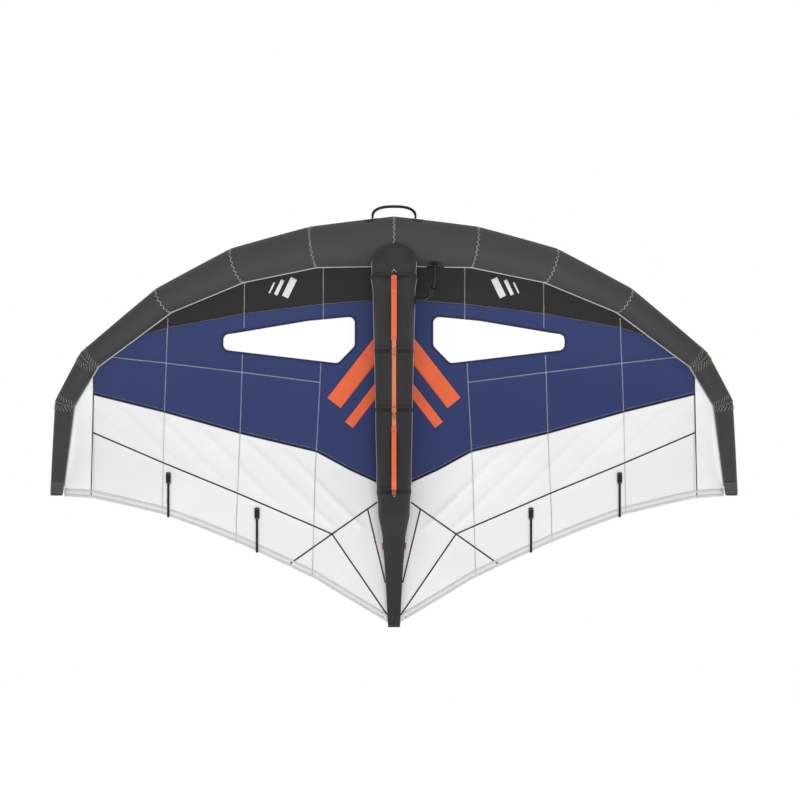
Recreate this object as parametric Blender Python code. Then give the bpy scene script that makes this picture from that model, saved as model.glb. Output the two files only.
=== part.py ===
"""Hand-held inflatable wing: a swept inflated nose tube, an inflated centre strut, a sewn canopy, a bow
handle on the nose, a long two-grip handle under the strut, a filling valve and a linking hose.

Metres. X runs along the span, Z runs up from the tail to the nose and +Y points from the handle side
to the upper side of the canopy. The origin is the point under the bow handle where a peg bears.
"""
import math

import bmesh
import bpy
import numpy as np
from mathutils import Matrix, Vector

# Driving sizes of the whole wing
HALF_SPAN = 1.730
TIP_RISE = 0.500
SWEEP = 1.275
TAIL_BEYOND_TIPS = 0.655
NOSE_RADIUS = 0.1225
TIP_RADIUS = 0.031
CAMBER_SHARE = 0.070
CAMBER_BIAS_SHARE = 0.5
EDGE_DROP = 0.030

# Clearances
CLEAR = 0.0003
BLADDER_CLEAR = 0.0016
RUNNING_CLEAR = 0.0006
CROWN_CLEAR = 0.0016
SEAM_CLEAR = 0.0008
OVERRUN = 0.010

# Cloth, film and tape thicknesses, drawn thicker than the real cloth so that they stay solid
CASING_WALL = 0.0015
BLADDER_WALL = 0.0010
CANOPY_WALL = 0.0020
WINDOW_WALL = 0.0012
HEM_WALL = 0.0040
CENTRE_TAPE_WALL = 0.0010
TIP_FOLD_WALL = 0.0010
PIPING_RADIUS = 0.0040
CENTRE_TAPE_WIDTH = 0.030

# Nose tube: places of the sewn corners, from the middle to the tip
NOSE_X_SHARES = (0.0, 0.2335, 0.454, 0.667, 0.8827, 0.954, 0.978)
NOSE_Z_SHARES = (0.0, 0.023, 0.095, 0.232, 0.464, 0.637, 1.0)
NOSE_RADIUS_SHARES = (1.0, 0.776, 0.634, 0.415, 0.262, 0.197, 0.0)
NOSE_SIDES = 24
SEAM_ANGLE = math.radians(12)
TIP_CAP_LENGTH = 0.040

# Trailing edge and canopy seams, as shares of the half span and of the local chord
EDGE_X_SHARES = (0.0, 0.017, 0.142, 0.223, 0.329, 0.445, 0.558, 0.665, 0.795, 0.872, 0.98)
EDGE_DEPTH_SHARES = (0.98, 0.966, 0.769, 0.638, 0.504, 0.364, 0.244, 0.143, 0.061, 0.018, 0.0)
BAND_X_SHARES = (0.0, 0.049, 0.223, 0.445, 0.665, 0.714, 0.735)
BAND_CHORD_SHARES = (0.098, 0.100, 0.1175, 0.118, 0.065, 0.027, 0.0)
BAND_END_SHARE = 0.722
COLOUR_X_SHARES = (0.0, 0.049, 0.142, 0.223, 0.445, 0.665, 0.872)
COLOUR_CHORD_SHARES = (0.624, 0.619, 0.608, 0.593, 0.576, 0.483, 0.172)
LOWER_X_SHARES = (0.0, 0.049, 0.179, 0.223, 0.445, 0.665, 0.872)
LOWER_CHORD_SHARES = (0.655, 0.676, 0.830, 0.834, 0.810, 0.740, 0.463)
TIP_SEAM_SHARE = 0.872
TIP_PANEL_END_SHARE = 0.955
HEM_WIDTH = 0.040
COLUMN_SHARES = (0.09, 0.28, 0.385, 0.50, 0.61, 0.76, 0.83, 0.91)

# Window outline, as shares of the half span and of the depth from the nose centre to the tail
WINDOW_X_SHARES = (0.1127, 0.1127, 0.1618, 0.4942, 0.4942, 0.4624)
WINDOW_Z_SHARES = (0.1982, 0.2720, 0.3174, 0.2824, 0.2383, 0.2280)
WINDOW_CORNER = 0.030
WINDOW_CORNER_STEPS = 4

# Strut: stations from the crown of its head to the tail, as shares of its length and head radius
STRUT_HEAD_RADIUS = 0.111
STRUT_HEAD_LAP = 0.008
HEAD_ANGLES = (14, 30, 48, 68, 90)
STRUT_STATION_SHARES = (
    0.078, 0.0895, 0.123, 0.201, 0.279, 0.345, 0.410, 0.5135, 0.592, 0.649, 0.670, 0.709, 0.761)
STRUT_WIDTH_SHARES = (
    0.973, 1.030, 0.932, 0.910, 0.869, 0.845, 0.820, 0.793, 0.757, 0.775, 0.725, 0.707, 0.5225)
STRUT_DEPTH_SHARES = (
    0.973, 1.030, 0.932, 0.910, 0.869, 0.845, 0.820, 0.793, 0.757, 0.775, 0.725, 0.690, 0.440)
TAIL_STATION_SHARES = (0.761, 0.854, 0.917, 0.993, 1.0)
TAIL_WIDTH_SHARES = (0.5225, 0.401, 0.338, 0.276, 0.270)
TAIL_DEPTH_SHARES = (0.440, 0.290, 0.210, 0.146, 0.140)
STRUT_SIDES = 24
TAIL_CAP_THICK = 0.006

# Long handle under the strut
ANCHOR_SHARES = (0.0905, 0.282, 0.4355, 0.649)
PATCH_WALL = 0.0015
PATCH_LENGTH = 0.050
PATCH_FACETS = 4
BAR_RADIUS = 0.006
BAR_LENGTH = 0.024
LOOP_HEIGHT = 0.066
LOOP_RAMP = 0.044
WEBBING_WIDTH = 0.022
WEBBING_THICK = 0.0035
GRIP_WIDTH = 0.038
GRIP_THICK = 0.026
GRIP_TAPER_SHARE = 0.12
GRIP_START_SHARES = (0.165, 0.27)
GRIP_END_SHARES = (0.74, 0.85)
STRAP_WIDTH = 0.030
STRAP_THICK = 0.0030
STRAP_LAP = 0.0080

# Bow handle on the nose
BOW_GAP = 0.0425
BOW_HALF_WIDTH = 0.1075
BOW_TUBE_RADIUS = 0.0065
BOW_BORE_RADIUS = 0.0048
BOW_CORE_RADIUS = 0.0042
BOW_FOOT_RADIUS = 0.0060
BOW_BARE_ANGLE = math.radians(9)
FOOT_ANGLES = (-80, -55, -28, 0, 28, 46)
BOW_SQUARENESS = 2.6
BOW_PATCH_LENGTH = 0.070

# Filling valve, on the upper side of the nose tube
VALVE_X = 0.170
VALVE_BASE_RADIUS = 0.0200
VALVE_BASE_WALL = 0.0030
VALVE_RIM_RADIUS = 0.0270
VALVE_RIM_THICK = 0.0030
VALVE_DEPTH = 0.014
VALVE_BODY_RISE = 0.0070
VALVE_GRIP_RADIUS = 0.0190
VALVE_BORE_RADIUS = 0.0110
VALVE_SEAT_RADIUS = 0.0085
VALVE_SEAT_THICK = 0.0020
VALVE_FLAP_RADIUS = 0.0100
VALVE_FLAP_THICK = 0.0015
VALVE_CAP_THICK = 0.0030
VALVE_PLUG_RADIUS = 0.0070
VALVE_PLUG_LENGTH = 0.0030
VALVE_HINGE_REACH = 0.0235
VALVE_PIN_RADIUS = 0.0007
VALVE_TONGUE_THICK = 0.0026
VALVE_LUG_WIDTH = 0.010
VALVE_EAR_THICK = 0.0025
VALVE_CAP_RADIUS = 0.0175
VALVE_FLAP_TRAVEL = 0.0035
VALVE_STEM_RADIUS = 0.0012
VALVE_SPOKE_WIDTH = 0.0050
VALVE_SEGMENTS = 24
PIN_SEGMENTS = 10

# Hose that joins the nose tube to the strut
HOSE_RADIUS = 0.0075
HOSE_BORE_RADIUS = 0.0064
HOSE_PULL_SHARE = 0.45
PORT_NECK_RADIUS = 0.0058
PORT_COLLAR_RADIUS = 0.0130
PORT_FLANGE_RADIUS = 0.0200
PORT_FLANGE_THICK = 0.0030
PORT_NECK_LENGTH = 0.016
PORT_DEPTH = 0.008
NOSE_PORT_X = 0.205
NOSE_PORT_ANGLE = math.radians(-30)
STRUT_PORT_SHARE = 0.150
HOSE_POINTS = 14
CLIP_LENGTH = 0.026
CLIP_WIDTH = 0.026
CLIP_DEPTH = 0.024
CLIP_EAR_THICK = 0.0035
CLIP_LEVER_THICK = 0.0050
CLIP_LEVER_LENGTH = 0.036
CLIP_PIN_RADIUS = 0.0013
CLIP_PLACE_SHARE = 0.50

# Battens at the trailing edge
BATTEN_X_SHARES = (0.396, 0.653)
BATTEN_PATCH_LENGTH = 0.055
BATTEN_PATCH_WIDTH = 0.026
SLEEVE_LENGTH = 0.225
SLEEVE_WIDTH = 0.012
SLEEVE_THICK = 0.0044
BATTEN_WIDTH = 0.008
BATTEN_THICK = 0.0020
SLEEVE_OVERHANG = 0.006

# Positions that follow from the sizes above
NOSE_Z = -(BOW_GAP + NOSE_RADIUS)
TIP_Z = NOSE_Z - SWEEP
TAIL_Z = TIP_Z - TAIL_BEYOND_TIPS
CANOPY_DEPTH = NOSE_Z - TAIL_Z
STRUT_TOP_Z = NOSE_Z - STRUT_HEAD_LAP
STRUT_LENGTH = STRUT_TOP_Z - TAIL_Z
RIGHT = 1
LEFT = -1
SIDE_NAMES = {RIGHT: "right", LEFT: "left"}


def clear_scene():
    for item in list(bpy.data.objects):
        bpy.data.objects.remove(item, do_unlink=True)


def material(name, colour, roughness, metallic=0.0, alpha=1.0):
    found = bpy.data.materials.get(name)
    if found:
        return found
    made = bpy.data.materials.new(name)
    made.use_nodes = True
    shader = made.node_tree.nodes["Principled BSDF"]
    shader.inputs["Base Color"].default_value = (*colour, 1.0)
    shader.inputs["Roughness"].default_value = roughness
    shader.inputs["Metallic"].default_value = metallic
    shader.inputs["Alpha"].default_value = alpha
    return made


def casing_cloth():
    return material("casing_cloth", (0.055, 0.055, 0.057), 0.62)


def tape_cloth():
    return material("tape_cloth", (0.045, 0.045, 0.047), 0.6)


def bladder_film():
    return material("bladder_film", (0.80, 0.82, 0.84), 0.3, alpha=0.6)


def black_ripstop():
    return material("black_ripstop", (0.032, 0.032, 0.033), 0.6)


def blue_ripstop():
    return material("blue_ripstop", (0.036, 0.052, 0.150), 0.55)


def white_ripstop():
    return material("white_ripstop", (0.83, 0.83, 0.84), 0.55)


def window_film():
    return material("window_film", (0.95, 0.96, 0.97), 0.08, alpha=0.3)


def orange_webbing():
    return material("orange_webbing", (0.80, 0.150, 0.060), 0.6)


def black_webbing():
    return material("black_webbing", (0.015, 0.015, 0.016), 0.7)


def grip_foam():
    return material("grip_foam", (0.020, 0.020, 0.021), 0.8)


def grey_plastic():
    return material("grey_plastic", (0.10, 0.10, 0.11), 0.4)


def flap_rubber():
    return material("flap_rubber", (0.03, 0.03, 0.03), 0.6)


def hose_rubber():
    return material("hose_rubber", (0.02, 0.02, 0.02), 0.5)


def batten_glass():
    return material("batten_glass", (0.85, 0.83, 0.75), 0.35)


def unit(vector):
    return vector / np.linalg.norm(vector)


def finish(name, mesh_data, look, smooth=True):
    mesh = bpy.data.meshes.new(name)
    mesh_data.to_mesh(mesh)
    mesh_data.free()
    item = bpy.data.objects.new(name, mesh)
    bpy.context.scene.collection.objects.link(item)
    mesh.materials.append(look)
    if smooth:
        mesh.shade_smooth()
        mesh.set_sharp_from_angle(angle=math.radians(40))
    return item


def as_cutter(item):
    item.hide_render = True
    item.display_type = "WIRE"
    return item


def set_origin(item, point):
    """Moves a piece's origin to a point on the line it turns or slides on."""
    point = Vector([float(value) for value in point])
    item.data.transform(Matrix.Translation(-point))
    item.location = point
    return item


def thicken(item, wall, offset):
    """Gives a sheet its wall: offset -1 grows inwards, 0 to both sides and 1 outwards."""
    modifier = item.modifiers.new("wall", "SOLIDIFY")
    modifier.thickness = wall
    modifier.offset = offset
    modifier.use_even_offset = False
    return item


def cut(item, cutter, operation="DIFFERENCE"):
    modifier = item.modifiers.new("cut_" + cutter.name, "BOOLEAN")
    modifier.operation = operation
    modifier.solver = "EXACT"
    modifier.object = cutter
    return item


def loft(rings, cap_start=True, cap_end=True, tidy=True):
    """A skin through closed rings of points that all have the same count."""
    made = bmesh.new()
    rows = [[made.verts.new(point) for point in ring] for ring in rings]
    count = len(rings[0])
    for low, high in zip(rows[:-1], rows[1:]):
        for i in range(count):
            j = (i + 1) % count
            made.faces.new((low[i], low[j], high[j], high[i]))
    if cap_start:
        made.faces.new(list(reversed(rows[0])))
    if cap_end:
        made.faces.new(rows[-1])
    if tidy:
        bmesh.ops.recalc_face_normals(made, faces=made.faces)
    return made


def pipe_wall(outer_rings, inner_rings):
    """A pipe with a bore: an outer skin, an inner skin and a flat rim at each end."""
    made = bmesh.new()
    outer = [[made.verts.new(point) for point in ring] for ring in outer_rings]
    inner = [[made.verts.new(point) for point in ring] for ring in inner_rings]
    count = len(outer_rings[0])
    loops = outer + inner[::-1]
    for low, high in zip(loops, loops[1:] + loops[:1]):
        for i in range(count):
            j = (i + 1) % count
            made.faces.new((low[i], low[j], high[j], high[i]))
    bmesh.ops.recalc_face_normals(made, faces=made.faces)
    return made


def sheet(points):
    """An open sheet over a grid of points, rows by columns."""
    made = bmesh.new()
    rows = [[made.verts.new(point) for point in row] for row in points]
    for low, high in zip(rows[:-1], rows[1:]):
        for i in range(len(low) - 1):
            made.faces.new((low[i], low[i + 1], high[i + 1], high[i]))
    return made


def turned(profile, segments, origin, axis):
    """A solid of revolution: profile holds (radius, height) pairs, heights along the axis."""
    axis = unit(np.asarray(axis, float))
    guide = np.array((0.0, 0.0, 1.0)) if abs(axis[2]) < 0.9 else np.array((1.0, 0.0, 0.0))
    first = unit(np.cross(guide, axis))
    second = np.cross(axis, first)
    angles = 2 * math.pi * np.arange(segments) / segments
    spokes = np.outer(np.cos(angles), first) + np.outer(np.sin(angles), second)
    rings = [np.asarray(origin) + radius * spokes + height * axis for radius, height in profile]
    return rings


def oblong_ring(centre, side, up, width, thick, power, count):
    """A ring between an ellipse and a rounded box, given by its power."""
    angles = 2 * math.pi * (np.arange(count) + 0.5) / count
    c, s = np.cos(angles), np.sin(angles)
    x = width / 2 * np.sign(c) * np.abs(c) ** (2 / power)
    y = thick / 2 * np.sign(s) * np.abs(s) ** (2 / power)
    return np.asarray(centre) + np.outer(x, side) + np.outer(y, up)


def bar_rings(path, widths, thicks, powers, side=(1.0, 0.0, 0.0), count=12):
    """Rings for a strap that follows a path, with its width along one direction, or one for each point."""
    path = np.asarray(path, float)
    tangents = np.gradient(path, axis=0)
    sides = np.broadcast_to(side, path.shape)
    rings = []
    for point, tangent, side, width, thick, power in zip(path, tangents, sides, widths, thicks, powers):
        up = unit(np.cross(unit(tangent), side))
        rings.append(oblong_ring(point, side, up, width, thick, power, count))
    return rings


def round_rings(path, radius, count):
    """Rings for a round tube along a path, carried without twist; one radius, or one for each point."""
    path = np.asarray(path, float)
    radii = np.broadcast_to(radius, len(path))
    tangents = np.gradient(path, axis=0)
    side = None
    rings = []
    angles = 2 * math.pi * np.arange(count) / count
    for point, tangent, reach in zip(path, tangents, radii):
        tangent = unit(tangent)
        if side is None:
            guide = np.array((0.0, 1.0, 0.0)) if abs(tangent[1]) < 0.9 else np.array((1.0, 0.0, 0.0))
            side = unit(np.cross(guide, tangent))
        side = unit(side - tangent * np.dot(side, tangent))
        other = np.cross(tangent, side)
        rings.append(point + reach * (np.outer(np.cos(angles), side) + np.outer(np.sin(angles), other)))
    return rings


def box_solid(size, centre, axes):
    """A box with the given size along three given directions."""
    made = bmesh.new()
    bmesh.ops.create_cube(made, size=1)
    columns = [unit(np.asarray(axis, float)) * length for axis, length in zip(axes, size)]
    turn = Matrix([[columns[j][i] for j in range(3)] for i in range(3)]).to_4x4()
    made.transform(Matrix.Translation(Vector(centre)) @ turn)
    bmesh.ops.recalc_face_normals(made, faces=made.faces)
    return made


# The nose tube's line, its corners and their rings
NOSE_X = HALF_SPAN * np.array(NOSE_X_SHARES)
BOW_RISE = TIP_RISE * NOSE_X_SHARES[1] * BOW_HALF_WIDTH / HALF_SPAN
NOSE_POINTS = np.stack((
    NOSE_X,
    TIP_RISE * (NOSE_X / HALF_SPAN) ** 2 - BOW_RISE,
    NOSE_Z - SWEEP * np.array(NOSE_Z_SHARES),
), axis=1)
NOSE_RADII = TIP_RADIUS + (NOSE_RADIUS - TIP_RADIUS) * np.array(NOSE_RADIUS_SHARES)
NOSE_DIRECTIONS = [unit(b - a) for a, b in zip(NOSE_POINTS[:-1], NOSE_POINTS[1:])]
LAST_CORNER = len(NOSE_POINTS) - 1


def cross_axes(direction):
    """The directions towards the canopy and towards the upper side, square to the tube."""
    up = np.array((0.0, 1.0, 0.0))
    up = unit(up - direction * np.dot(up, direction))
    back = np.cross(up, direction)
    return back, up


def mitre_normal(corner):
    if corner == 0:
        return np.array((1.0, 0.0, 0.0))
    if corner == LAST_CORNER:
        return np.array((0.0, 0.0, -1.0))
    return unit(NOSE_DIRECTIONS[corner - 1] + NOSE_DIRECTIONS[corner])


def corner_points(corner, radius, angles):
    """Points round the tube in the mitre plane of one corner, shared by the two tubes that meet there."""
    angles = np.atleast_1d(angles)
    centre = NOSE_POINTS[corner]
    normal = mitre_normal(corner)
    found = []
    for segment in {max(corner - 1, 0), min(corner, LAST_CORNER - 1)}:
        direction = NOSE_DIRECTIONS[segment]
        back, up = cross_axes(direction)
        reach = radius * (np.outer(np.cos(angles), back) + np.outer(np.sin(angles), up))
        slide = reach @ normal / np.dot(direction, normal)
        found.append(centre + reach - np.outer(slide, direction))
    return sum(found) / len(found)


def corner_ring(corner, grow=0.0):
    angles = 2 * math.pi * np.arange(NOSE_SIDES) / NOSE_SIDES
    return corner_points(corner, NOSE_RADII[corner] + grow, angles)


def mirrored(points, side):
    return np.asarray(points) * np.array((side, 1.0, 1.0))


def nose_ring_at(corner, distance, grow=0.0):
    """A ring at a distance from a corner, along the tube towards the tip or back towards the middle."""
    other = corner + 1 if distance > 0 else corner - 1
    here, there = corner_ring(corner, grow), corner_ring(other, grow)
    share = abs(distance) / np.linalg.norm(NOSE_POINTS[other] - NOSE_POINTS[corner])
    return here + (there - here) * share


# The canopy's front edge, one point for each corner of the nose tube
EDGE_REACH = CLEAR + 2 * (PIPING_RADIUS + SEAM_CLEAR)
FRONT = np.array([
    corner_points(k, NOSE_RADII[k] + EDGE_REACH, SEAM_ANGLE)[0] for k in range(LAST_CORNER + 1)])
EDGE_X = HALF_SPAN * np.array(EDGE_X_SHARES)
EDGE_Z = TIP_Z - TAIL_BEYOND_TIPS * np.array(EDGE_DEPTH_SHARES)


def front_z(x):
    return np.interp(x, FRONT[:, 0], FRONT[:, 2])


def edge_z(x):
    return np.interp(x, EDGE_X, EDGE_Z)


def chord_at(x):
    return np.maximum(front_z(x) - edge_z(x), CLEAR)


def canopy_y(x, z):
    """Height of the canopy: the front edge's height, plus an arch that is fullest ahead of mid chord."""
    chord = chord_at(x)
    share = np.clip((front_z(x) - z) / chord, 0.0, 1.0)
    arch = 4 * share * (1 - share) * (1 + CAMBER_BIAS_SHARE * (1 - 2 * share))
    drop = EDGE_DROP * share * (1 - x / HALF_SPAN)
    return np.interp(x, FRONT[:, 0], FRONT[:, 1]) + CAMBER_SHARE * chord * arch - drop


def chord_line(x_shares, chord_shares):
    """A seam across the canopy, given by its share of the chord at each share of the half span."""
    def height(x):
        share = np.interp(x, HALF_SPAN * np.array(x_shares), chord_shares)
        return front_z(x) - share * chord_at(x)
    return height


band_z = chord_line(BAND_X_SHARES, BAND_CHORD_SHARES)
colour_z = chord_line(COLOUR_X_SHARES, COLOUR_CHORD_SHARES)
lower_z = chord_line(LOWER_X_SHARES, LOWER_CHORD_SHARES)


def hem_z(x):
    return edge_z(x) + HEM_WIDTH


SEAM_X = HALF_SPAN * np.array(BAND_X_SHARES + COLOUR_X_SHARES + LOWER_X_SHARES + COLUMN_SHARES)
COLUMNS = np.unique(np.round(np.concatenate((FRONT[:, 0], EDGE_X, SEAM_X)), 4))


def columns_between(start, end):
    inside = COLUMNS[(COLUMNS > start + OVERRUN) & (COLUMNS < end - OVERRUN)]
    return np.concatenate(((start,), inside, (end,)))


def canopy_grid(start, end, top, bottom, rows, side):
    x = columns_between(start, end)
    high = top(x) - SEAM_CLEAR / 2
    low = bottom(x) + SEAM_CLEAR / 2
    share = np.linspace(0, 1, rows + 1)[:, None]
    z = high + (low - high) * share
    x = np.broadcast_to(x, z.shape)
    return mirrored(np.stack((x, canopy_y(x, z), z), axis=2), side)


def canopy_panel(name, start, end, top, bottom, rows, side, wall, look):
    start = start + SEAM_CLEAR / 2
    end = end - SEAM_CLEAR / 2
    panel = finish(name, sheet(canopy_grid(start, end, top, bottom, rows, side)), look)
    return thicken(panel, wall, 0.0)


def rounded_outline(corners, radius, steps):
    """The outline with each corner replaced by an arc of the given radius."""
    outline = []
    count = len(corners)
    for i in range(count):
        here = np.array(corners[i])
        before = unit(np.array(corners[i - 1]) - here)
        after = unit(np.array(corners[(i + 1) % count]) - here)
        half = math.acos(np.clip(np.dot(before, after), -1, 1)) / 2
        reach = radius / math.tan(half)
        centre = here + unit(before + after) * radius / math.sin(half)
        start = here + before * reach - centre
        end = here + after * reach - centre
        turn = math.atan2(start[0] * end[1] - start[1] * end[0], np.dot(start, end))
        for share in np.linspace(0, 1, steps + 1):
            c, s = math.cos(turn * share), math.sin(turn * share)
            outline.append(centre + np.array((c * start[0] - s * start[1], s * start[0] + c * start[1])))
    return np.array(outline)


def window_prism(name, side, shrink):
    """A straight prism through the canopy with the window's outline."""
    x = HALF_SPAN * np.array(WINDOW_X_SHARES)
    z = NOSE_Z - CANOPY_DEPTH * np.array(WINDOW_Z_SHARES)
    outline = rounded_outline(np.stack((x, z), axis=1), WINDOW_CORNER, WINDOW_CORNER_STEPS)
    middle = outline.mean(axis=0)
    reach = np.linalg.norm(outline - middle, axis=1)[:, None]
    outline = middle + (outline - middle) * (1 - shrink / reach)
    rings = []
    for depth in (-TIP_RISE, TIP_RISE):
        rings.append(mirrored([(px, depth, pz) for px, pz in outline], side))
    return as_cutter(finish(name, loft(rings), window_film(), smooth=False))


def build_canopy_side(side):
    label = SIDE_NAMES[side]
    tip_seam = HALF_SPAN * TIP_SEAM_SHARE
    band_end = HALF_SPAN * BAND_END_SHARE
    canopy_panel(
        f"canopy_front_{label}", 0, band_end, front_z, band_z, 2, side, CANOPY_WALL, black_ripstop())
    middle = canopy_panel(f"canopy_middle_{label}", 0, tip_seam, band_z, colour_z, 7, side,
                          CANOPY_WALL, blue_ripstop())
    cut(middle, window_prism(f"window_hole_{label}", side, 0.0))
    window = canopy_panel(
        f"window_{label}", 0, tip_seam, band_z, colour_z, 7, side, WINDOW_WALL, window_film())
    cut(window, window_prism(f"window_edge_{label}", side, CLEAR), "INTERSECT")
    canopy_panel(
        f"canopy_rear_{label}", 0, tip_seam, colour_z, lower_z, 4, side, CANOPY_WALL, white_ripstop())
    canopy_panel(f"canopy_edge_{label}", 0, tip_seam, lower_z, hem_z, 4, side, CANOPY_WALL, white_ripstop())
    canopy_panel(f"canopy_tip_{label}", tip_seam, HALF_SPAN * TIP_PANEL_END_SHARE, front_z, hem_z, 8, side,
                 CANOPY_WALL, white_ripstop())
    canopy_panel(f"trailing_hem_{label}", 0, HALF_SPAN * TIP_PANEL_END_SHARE, hem_z, edge_z, 1, side,
                 HEM_WALL, white_ripstop())


def build_centre_tape():
    """The tape that joins the two halves of the canopy, on the upper side above the strut."""
    start, end = front_z(0.0), hem_z(0.0) + CENTRE_TAPE_WIDTH / 2
    lift = (CANOPY_WALL + CENTRE_TAPE_WALL) / 2 + 2 * CLEAR
    rows = []
    for z in np.linspace(start, end, 24):
        half = CENTRE_TAPE_WIDTH / 2
        high = max(canopy_y(half, z), canopy_y(0.0, z)) + lift
        rows.append([(-half, high, z), (0.0, high, z), (half, high, z)])
    thicken(finish("centre_tape", sheet(rows), tape_cloth()), CENTRE_TAPE_WALL, 0.0)


def build_nose_casing(side):
    """Six sewn cloth panels from the middle seam to the tip; the last one is folded shut at the tip."""
    label = SIDE_NAMES[side]
    panels = []
    for k in range(LAST_CORNER):
        start = corner_ring(k) + mitre_normal(k) * SEAM_CLEAR / 2
        end = corner_ring(k + 1) - mitre_normal(k + 1) * SEAM_CLEAR / 2
        last = k + 1 == LAST_CORNER
        rings = [start, end]
        if last:
            fold = [nose_ring_at(LAST_CORNER, -TIP_CAP_LENGTH, grow) for grow in (0.0, TIP_FOLD_WALL)]
            rings = [start] + fold + [corner_ring(LAST_CORNER, TIP_FOLD_WALL)]
        rings = [mirrored(ring, side) for ring in rings]
        panel = finish(f"nose_panel_{label}_{k + 1}", loft(rings, False, last), casing_cloth())
        panels.append(thicken(panel, CASING_WALL, -1.0))
    cut(panels[0], bow_patch(side), "UNION")
    return panels


def build_nose_bladder(holes):
    """One long film tube inside all twelve casing panels."""
    shrink = -(CASING_WALL + BLADDER_CLEAR)
    rings = [mirrored(corner_ring(k, shrink), LEFT) for k in range(LAST_CORNER, 0, -1)]
    rings += [corner_ring(k, shrink) for k in range(LAST_CORNER + 1)]
    lift = np.array((0.0, 0.0, 2 * BLADDER_CLEAR))
    rings[0] = rings[0] + lift
    rings[-1] = rings[-1] + lift
    bladder = thicken(finish("nose_bladder", loft(rings), bladder_film()), BLADDER_WALL, -1.0)
    for hole in holes:
        cut(bladder, hole)


def build_piping(side):
    """The white cord edge in the seam between the nose tube and the canopy."""
    label = SIDE_NAMES[side]
    reach = CLEAR + PIPING_RADIUS
    line = np.array([
        corner_points(k, NOSE_RADII[k] + reach, SEAM_ANGLE)[0] for k in range(LAST_CORNER + 1)])
    share = (STRUT_HEAD_RADIUS / 2) / line[1][0]
    line[0] = line[0] + (line[1] - line[0]) * share
    lift = TIP_CAP_LENGTH / np.linalg.norm(line[-1] - line[-2])
    line[-1] = line[-1] + (line[-2] - line[-1]) * (lift + lift / 4)
    made = loft(round_rings(mirrored(line, side), PIPING_RADIUS, 8))
    finish(f"front_piping_{label}", made, white_ripstop())


# The strut's line and its rings
HEAD_Z = STRUT_TOP_Z - STRUT_HEAD_RADIUS * (1 - np.cos(np.radians(HEAD_ANGLES)))
HEAD_SIZE = STRUT_HEAD_RADIUS * np.sin(np.radians(HEAD_ANGLES))
BODY_Z = STRUT_TOP_Z - STRUT_LENGTH * np.array(STRUT_STATION_SHARES)
STRUT_Z = np.concatenate((HEAD_Z, (front_z(0.0),), BODY_Z))
HEAD_SIZES = np.append(HEAD_SIZE, STRUT_HEAD_RADIUS)
STRUT_W = np.concatenate((HEAD_SIZES, STRUT_HEAD_RADIUS * np.array(STRUT_WIDTH_SHARES)))
STRUT_H = np.concatenate((HEAD_SIZES, STRUT_HEAD_RADIUS * np.array(STRUT_DEPTH_SHARES)))
TAIL_STATION_Z = STRUT_TOP_Z - STRUT_LENGTH * np.array(TAIL_STATION_SHARES)
TAIL_W = STRUT_HEAD_RADIUS * np.array(TAIL_WIDTH_SHARES)
TAIL_H = STRUT_HEAD_RADIUS * np.array(TAIL_DEPTH_SHARES)
ALL_Z = np.concatenate((STRUT_Z, TAIL_STATION_Z[1:]))
ALL_W = np.concatenate((STRUT_W, TAIL_W[1:]))
ALL_H = np.concatenate((STRUT_H, TAIL_H[1:]))


def strut_crown_y(z):
    """The strut's upper line, just under the canopy, and level with the canopy's front edge ahead of it."""
    return canopy_y(0.0, np.minimum(z, front_z(0.0))) - CANOPY_WALL / 2 - CROWN_CLEAR


BALL_Z = HEAD_Z[-1]
BALL_Y = strut_crown_y(BALL_Z) - STRUT_HEAD_RADIUS
ALL_Y = np.where(ALL_Z > BALL_Z, BALL_Y, strut_crown_y(ALL_Z) - ALL_H)


def strut_half_width(z):
    return np.interp(-z, -ALL_Z, ALL_W)


def strut_half_depth(z):
    return np.interp(-z, -ALL_Z, ALL_H)


def strut_centre_y(z):
    """The head is a ball whose middle keeps its depth, and behind it the strut hangs from the canopy."""
    return np.interp(-z, -ALL_Z, ALL_Y)


def strut_ring(z, grow=0.0):
    angles = 2 * math.pi * np.arange(STRUT_SIDES) / STRUT_SIDES
    x = (strut_half_width(z) + grow) * np.cos(angles)
    y = strut_centre_y(z) + (strut_half_depth(z) + grow) * np.sin(angles)
    return np.stack((x, y, np.full_like(x, z)), axis=1)


def strut_rings(grow, end_lift=0.0):
    """The inflated strut from the crown of its ball head to its end, grown or shrunk all over."""
    angles = 2 * math.pi * np.arange(STRUT_SIDES) / STRUT_SIDES
    circle = np.stack((np.cos(angles), np.sin(angles), np.zeros_like(angles)), axis=1)
    rings = []
    for lean in np.radians(HEAD_ANGLES):
        reach = STRUT_HEAD_RADIUS + grow
        middle = np.array((0.0, BALL_Y, BALL_Z + reach * math.cos(lean)))
        rings.append(middle + reach * math.sin(lean) * circle)
    places = STRUT_Z[len(HEAD_ANGLES):].copy()
    places[-1] += end_lift
    return rings + [strut_ring(z, grow) for z in places]


def strut_under_y(z):
    return strut_centre_y(z) - strut_half_depth(z)


def nose_envelope(name, grow):
    """The nose tube near the middle, grown by a clearance, to cut what laps over it."""
    rings = [mirrored(corner_ring(1, grow), LEFT), corner_ring(0, grow), corner_ring(1, grow)]
    return as_cutter(finish(name, loft(rings), casing_cloth(), smooth=False))


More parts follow.
